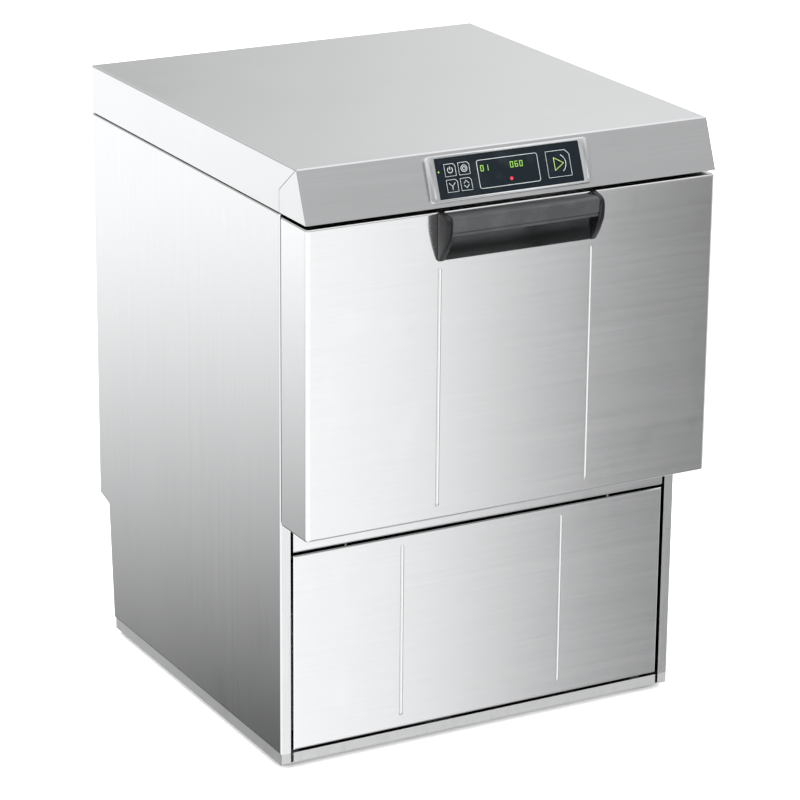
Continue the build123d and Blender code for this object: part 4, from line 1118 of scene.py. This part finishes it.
@dataclass
class Strainer:
    """Two perforated plates over the sump, each with a plain rim, round the hub and the overflow."""

    pitch: float = 11 * MM
    hole_share: float = 0.24
    sheet: float = 1.0 * MM
    rim: float = 9 * MM
    half_gap: float = 0.6 * MM
    hub_hole: float = 21 * MM
    pipe_hole: float = 17 * MM
    collar: float = 6 * MM

    def build(self) -> None:
        """Makes both plates as one piece."""
        low, high = span("tank_strainer")
        middle = (low + high) / 2
        overflow = centre_of("overflow_pipe")
        holes = ((middle.x, middle.y, self.hub_hole), (overflow.x, overflow.y, self.pipe_hole))
        parts = []
        for side in (-1, 1):
            x0, x1 = sorted((middle.x + side * self.half_gap, middle.x + side * (high.x - middle.x)))
            inner = (x0 + self.rim, x1 - self.rim, low.y + self.rim, high.y - self.rim)
            parts.append(self._mesh(inner, low.z, holes))
            plate = slab("rim", (x0, low.y, low.z), (x1, high.y, high.z))
            foot = (inner[0], inner[2], low.z - self.rim)
            cut_away(plate, slab("window", foot, (inner[1], inner[3], high.z + self.rim)))
            for x, y, radius in holes:
                rod = [(0, -self.rim), (radius, -self.rim), (radius, self.rim), (0, self.rim)]
                cut_away(plate, turned("bore", (x, y, low.z), rod, Axis.Z, 40))
            parts.append(plate)
        thick = high.z - low.z
        for x, y, radius in holes:
            wall = radius + self.collar
            ring = [(radius, 0), (wall, 0), (wall, thick), (radius, thick)]
            parts.append(turned("collar", (x, y, low.z), ring, Axis.Z, 40))
        plates = joined("strainer_plates", parts)
        hand_over(plates, "cabinet", Finishes.strainer, ["tank_strainer"])

    def _mesh(
        self, edges: tuple[float, float, float, float], z: float, holes: Sequence[tuple[float, float, float]]
    ) -> bpy.types.Object:
        """A sheet full of round holes.

        Args:
            edges: Its lowest and highest x, then its lowest and highest y.
            z: Its underside.
            holes: Centre and radius of each larger hole that it is cut short at.

        Returns:
            The sheet.
        """
        x0, x1, y0, y1 = edges
        clear_selection()
        columns = max(2, round((x1 - x0) / self.pitch))
        rows = max(2, round((y1 - y0) / self.pitch))
        bpy.ops.mesh.primitive_grid_add(x_subdivisions=columns, y_subdivisions=rows, size=1.0)
        sheet = bpy.context.object
        sheet.scale = (x1 - x0, y1 - y0, 1.0)
        sheet.location = ((x0 + x1) / 2, (y0 + y1) / 2, z + self.sheet * 0.75)
        settle(sheet)
        bpy.ops.object.mode_set(mode="EDIT")
        bpy.ops.mesh.select_all(action="DESELECT")
        bpy.ops.object.mode_set(mode="OBJECT")
        margin = self.pitch * 0.4
        for face in sheet.data.polygons:
            place = face.center
            face.select = any(hypot(place.x - x, place.y - y) < radius + margin for x, y, radius in holes)
        bpy.ops.object.mode_set(mode="EDIT")
        bpy.ops.mesh.delete(type="FACE")
        bpy.ops.mesh.select_all(action="SELECT")
        bpy.ops.mesh.inset(thickness=self.pitch * self.hole_share, use_individual=True)
        bpy.ops.mesh.delete(type="FACE")
        bpy.ops.object.mode_set(mode="OBJECT")
        apply_modifier(sheet, "SUBSURF", levels=1, render_levels=1)
        return apply_modifier(sheet, "SOLIDIFY", thickness=self.sheet, offset=0.0)


# ---------------------------------------------------------------- feet and rear


@dataclass
class LevellingFeet:
    """Black screw feet with a round pad and a threaded stem."""

    thread_pitch: float = 1.6 * MM
    neck: float = 5.6 * MM

    def build(self) -> None:
        """Makes every foot."""
        for node in sorted(name for name in frame["nodes"] if name.startswith("foot_")):
            low, high = span(node)
            middle = (low + high) / 2
            pad = (high - low).x / 2
            step = self.thread_pitch
            profile = [
                (0, 0), (pad * 0.96, 0), (pad, 0.8 * MM), (pad, 2.6 * MM),
                (pad * 0.7, 4.2 * MM), (pad * 0.42, 5.2 * MM), (4.9 * MM, self.neck),
            ]
            height = (high - low).z
            rise = self.neck
            while rise + step < height - 1 * MM:
                profile += [(4.3 * MM, rise + step * 0.3), (4.95 * MM, rise + step * 0.8)]
                rise += step
            profile += [(3.8 * MM, height), (0, height)]
            foot = turned(node + "_screw", (middle.x, middle.y, low.z), profile, Axis.Z, 28)
            hand_over(foot, node, Finishes.black, [node])


@dataclass
class RearDetails:
    """Louvres, screws and the threaded water connection on the back."""

    louvre: tuple[float, float] = (70 * MM, 5 * MM)
    rows: int = 9
    pitch: float = 13 * MM
    first_row: float = 60 * MM
    hood_deep: float = 0.5 * MM
    screw_radius: float = 4 * MM
    screw_inset: float = 12 * MM
    inlet_bore: float = 8 * MM
    flange_proud: float = 4 * MM
    flange_start: float = 24 * MM
    thread_start: float = 30 * MM
    thread_pitch: float = 1.8 * MM
    thread_deep: float = 1.2 * MM

    def build(self) -> None:
        """Makes the louvres, the screws and the threads."""
        low, high = span("rear_panel_upper")
        self._louvres(low, high)
        self._screws(low, high)
        self._threads()

    def _louvres(self, low: Vector, high: Vector) -> None:
        """Two ladders of pressed hoods, within the panel's thickness."""
        wide, tall = self.louvre
        hoods = []
        for side in (-1, 1):
            for row in range(self.rows):
                x = side * (high.x - low.x) * 0.27
                z = low.z + self.first_row + row * self.pitch
                left = x - wide / 2
                root = high.y - self.hood_deep
                points = [(left, root, z), (left, root, z + tall), (left, high.y, z + tall * 0.2)]
                hoods.append(prism("hood", points, (wide, 0.0, 0.0)))
        whole = joined("rear_louvres", hoods)
        hand_over(whole, "cabinet", Finishes.back)

    def _screws(self, low: Vector, high: Vector) -> None:
        """Pan-head screws round the panel, within its thickness, each with a cross slot."""
        heads = []
        inset = self.screw_inset
        r = self.screw_radius
        pan = [(0, -1.8 * MM), (r, -1.8 * MM), (r, -0.9 * MM), (r * 0.7, -0.2 * MM), (0, -0.05 * MM)]
        slot_foot, slot_top = high.y - 0.9 * MM, high.y + 1 * MM
        for x in (low.x + inset, 0.0, high.x - inset):
            for z in (low.z + inset, (low.z + high.z) / 2, high.z - inset):
                head = turned("screw", (x, high.y, z), pan, Axis.Y, 18)
                slots = []
                for a, b in ((r * 0.65, r * 0.14), (r * 0.14, r * 0.65)):
                    slots.append(slab("slot", (x - a, slot_foot, z - b), (x + a, slot_top, z + b)))
                heads.append(cut_away(head, *slots))
        hand_over(joined("rear_screws", heads), "cabinet", Finishes.screw)

    def _threads(self) -> None:
        """The water inlet with thread crests and a round flange."""
        low, high = span("water_inlet")
        middle = (low + high) / 2
        flange = (high - low).x / 2
        crest = flange - self.flange_proud
        root = crest - self.thread_deep
        sleeve = crest - 0.6 * MM
        length = high.y - low.y
        profile = [
            (self.inlet_bore, 0), (sleeve, 0), (sleeve, self.flange_start - 0.1 * MM),
            (flange, self.flange_start), (flange, 28.6 * MM), (root, 29 * MM),
        ]
        rise = self.thread_start
        while rise + self.thread_pitch < length - 1 * MM:
            profile += [(root, rise), (crest, rise + self.thread_pitch / 2)]
            rise += self.thread_pitch
        profile += [(root, length - 0.6 * MM), (crest - 1.8 * MM, length), (self.inlet_bore, length)]
        fitting = turned("inlet_thread", (middle.x, low.y, middle.z), profile, Axis.Y, 36)
        hand_over(fitting, "cabinet", Finishes.brass, ["water_inlet"])


# ---------------------------------------------------------------- the studio


@dataclass
class Softbox:
    """A rectangular studio light.

    Args:
        name: Its name.
        place: Where it stands, in metres.
        target: The point that it faces.
        size: Its width and height.
        watts: Its power.
    """

    name: str
    place: Triple
    target: Triple
    size: tuple[float, float]
    watts: float

    def build(self) -> None:
        """Adds the light."""
        lamp = bpy.data.lights.new(self.name, "AREA")
        lamp.shape = "RECTANGLE"
        lamp.size, lamp.size_y = self.size
        lamp.energy = self.watts
        stand = bpy.data.objects.new(self.name, lamp)
        stand.location = self.place
        aim = Vector(self.target) - Vector(self.place)
        stand.rotation_euler = aim.to_track_quat("-Z", "Y").to_euler()
        stand.visible_glossy = False
        bpy.context.scene.collection.objects.link(stand)
        log.info("light %s", self.name)


@dataclass(frozen=True)
class Fade:
    """A change of brightness across the surroundings.

    Args:
        start: Where it starts.
        end: Where it is complete.
        change: The whole change.
    """

    start: float
    end: float
    change: float

    def at(self, value: Wire) -> Wire:
        """The change at a value of the direction that it runs along."""
        return value.between(self.start, self.end) * self.change


def crossed(first: Value, second: Value, share: Wire) -> Wire:
    """The first brightness, going over to the second as the share goes from 0 to 1."""
    return first * (1.0 - share) + second * share


@dataclass
class Studio:
    """Floor, lights, surroundings and camera.

    Args:
        eye: The camera's place, in metres.
        turn: Its turn about the vertical, in radians.
        tilt: How far it looks down, in radians.
        roll: Its roll, in radians.
        lens: Its focal length on a 36 mm sensor.
    """

    eye: Triple = (-2.1286, -3.8994, 1.9100)
    turn: float = -0.5005
    tilt: float = -0.3286
    roll: float = -0.009
    lens: float = 36.0 * 3417.09 / 800.0
    floor_size: float = 40.0
    lights: tuple[Softbox, ...] = field(
        default=(
            Softbox("Front softbox", (0.5, -3.2, 1.7), (0.0, 0.0, 0.45), (1.8, 1.8), 95.0),
            Softbox("Left softbox", (-3.4, -0.4, 1.9), (0.0, 0.1, 0.5), (2.0, 1.6), 80.0),
            Softbox("Overhead softbox", (-0.3, 0.6, 3.2), (0.0, 0.0, 0.6), (2.4, 2.4), 90.0),
            Softbox("Rear softbox", (2.6, 2.6, 1.8), (0.0, 0.0, 0.5), (1.6, 1.6), 60.0),
        )
    )

    def build(self) -> None:
        """Adds the floor, the lights, the world and the camera."""
        clear_selection()
        bpy.ops.mesh.primitive_plane_add(size=self.floor_size, location=(0.0, 0.0, -0.5 * MM))
        floor = bpy.context.object
        floor.name = "studio_floor"
        paint = Paint("Studio floor")
        haze = paint.noise((1.5, 1.5, 1.5), 2.0, 0.5)
        paint.set(Base_Color=paint.shade(haze, (0.95, 0.95, 0.95), (0.97, 0.97, 0.97)), Roughness=0.7)
        floor.data.materials.append(paint.material)
        floor.visible_glossy = False
        for light in self.lights:
            light.build()
        self._air()
        self._camera()

    def _air(self) -> None:
        """Adds the soft surroundings: bright walls that fall off round the sides and low down."""
        world = bpy.data.worlds.new("Studio air")
        world.use_nodes = True
        bench = NodeBench(world.node_tree)
        coordinates = bench.tree.nodes.new("ShaderNodeTexCoord")
        x, y, z = bench.parts(Wire(bench, coordinates.outputs["Generated"]))
        side = x / (abs(y) + 0.05)
        behind = y.between(-0.15, 0.15)
        front = 1.60 + Fade(0.525, 0.60, -1.36).at(side) + Fade(0.95, 1.6, 0.9).at(side)
        far_left = 1.62 + Fade(-0.27, -0.41, -1.54).at(z)
        far_right = 1.25 + Fade(-0.15, -0.5, -0.55).at(z)
        rear = crossed(far_left, far_right, x.between(-0.1, 0.1))
        forward = 0.56 + Fade(0.34, 0.75, 0.95).at(z)
        backward = 0.44 + Fade(0.20, 0.40, 0.55).at(z) + Fade(0.40, 0.56, 0.38).at(side)
        low = crossed(front, rear, behind)
        high = crossed(forward, backward, behind)
        level = crossed(low, high, z.between(-0.08, 0.14))
        background = bench.tree.nodes.new("ShaderNodeBackground")
        background.inputs["Color"].default_value = (1.0, 1.0, 1.0, 1.0)
        bench.tree.links.new(level.socket, background.inputs["Strength"])
        output = bench.tree.nodes.new("ShaderNodeOutputWorld")
        bench.tree.links.new(background.outputs[0], output.inputs["Surface"])
        bpy.context.scene.world = world
        bpy.context.scene.view_settings.view_transform = "Standard"

    def _camera(self) -> None:
        """Adds the camera: level base view, then roll, tilt and turn."""
        data = bpy.data.cameras.new("Camera")
        data.lens = self.lens
        data.sensor_width = 36.0
        camera = bpy.data.objects.new("Camera", data)
        level = Matrix.Rotation(pi / 2, 3, "X")
        turn = Matrix.Rotation(self.turn, 3, "Z")
        tilt = Matrix.Rotation(self.tilt, 3, "X")
        roll = Matrix.Rotation(self.roll, 3, "Y")
        camera.matrix_world = Matrix.Translation(self.eye) @ (turn @ tilt @ roll @ level).to_4x4()
        bpy.context.scene.collection.objects.link(camera)
        bpy.context.scene.camera = camera


def main() -> None:
    """Builds the machine's looks and the studio."""
    logging.basicConfig(level=logging.INFO, format="%(name)s: %(message)s")
    Studio().build()
    dress_cad_nodes()
    assemblies = (
        ControlUnit(), Handle(), Gasket(), SprayArms(), Strainer(), LevellingFeet(), RearDetails(),
    )
    for assembly in assemblies:
        log.info("building %s", type(assembly).__name__)
        assembly.build()


if __name__ == "__main__":
    main()
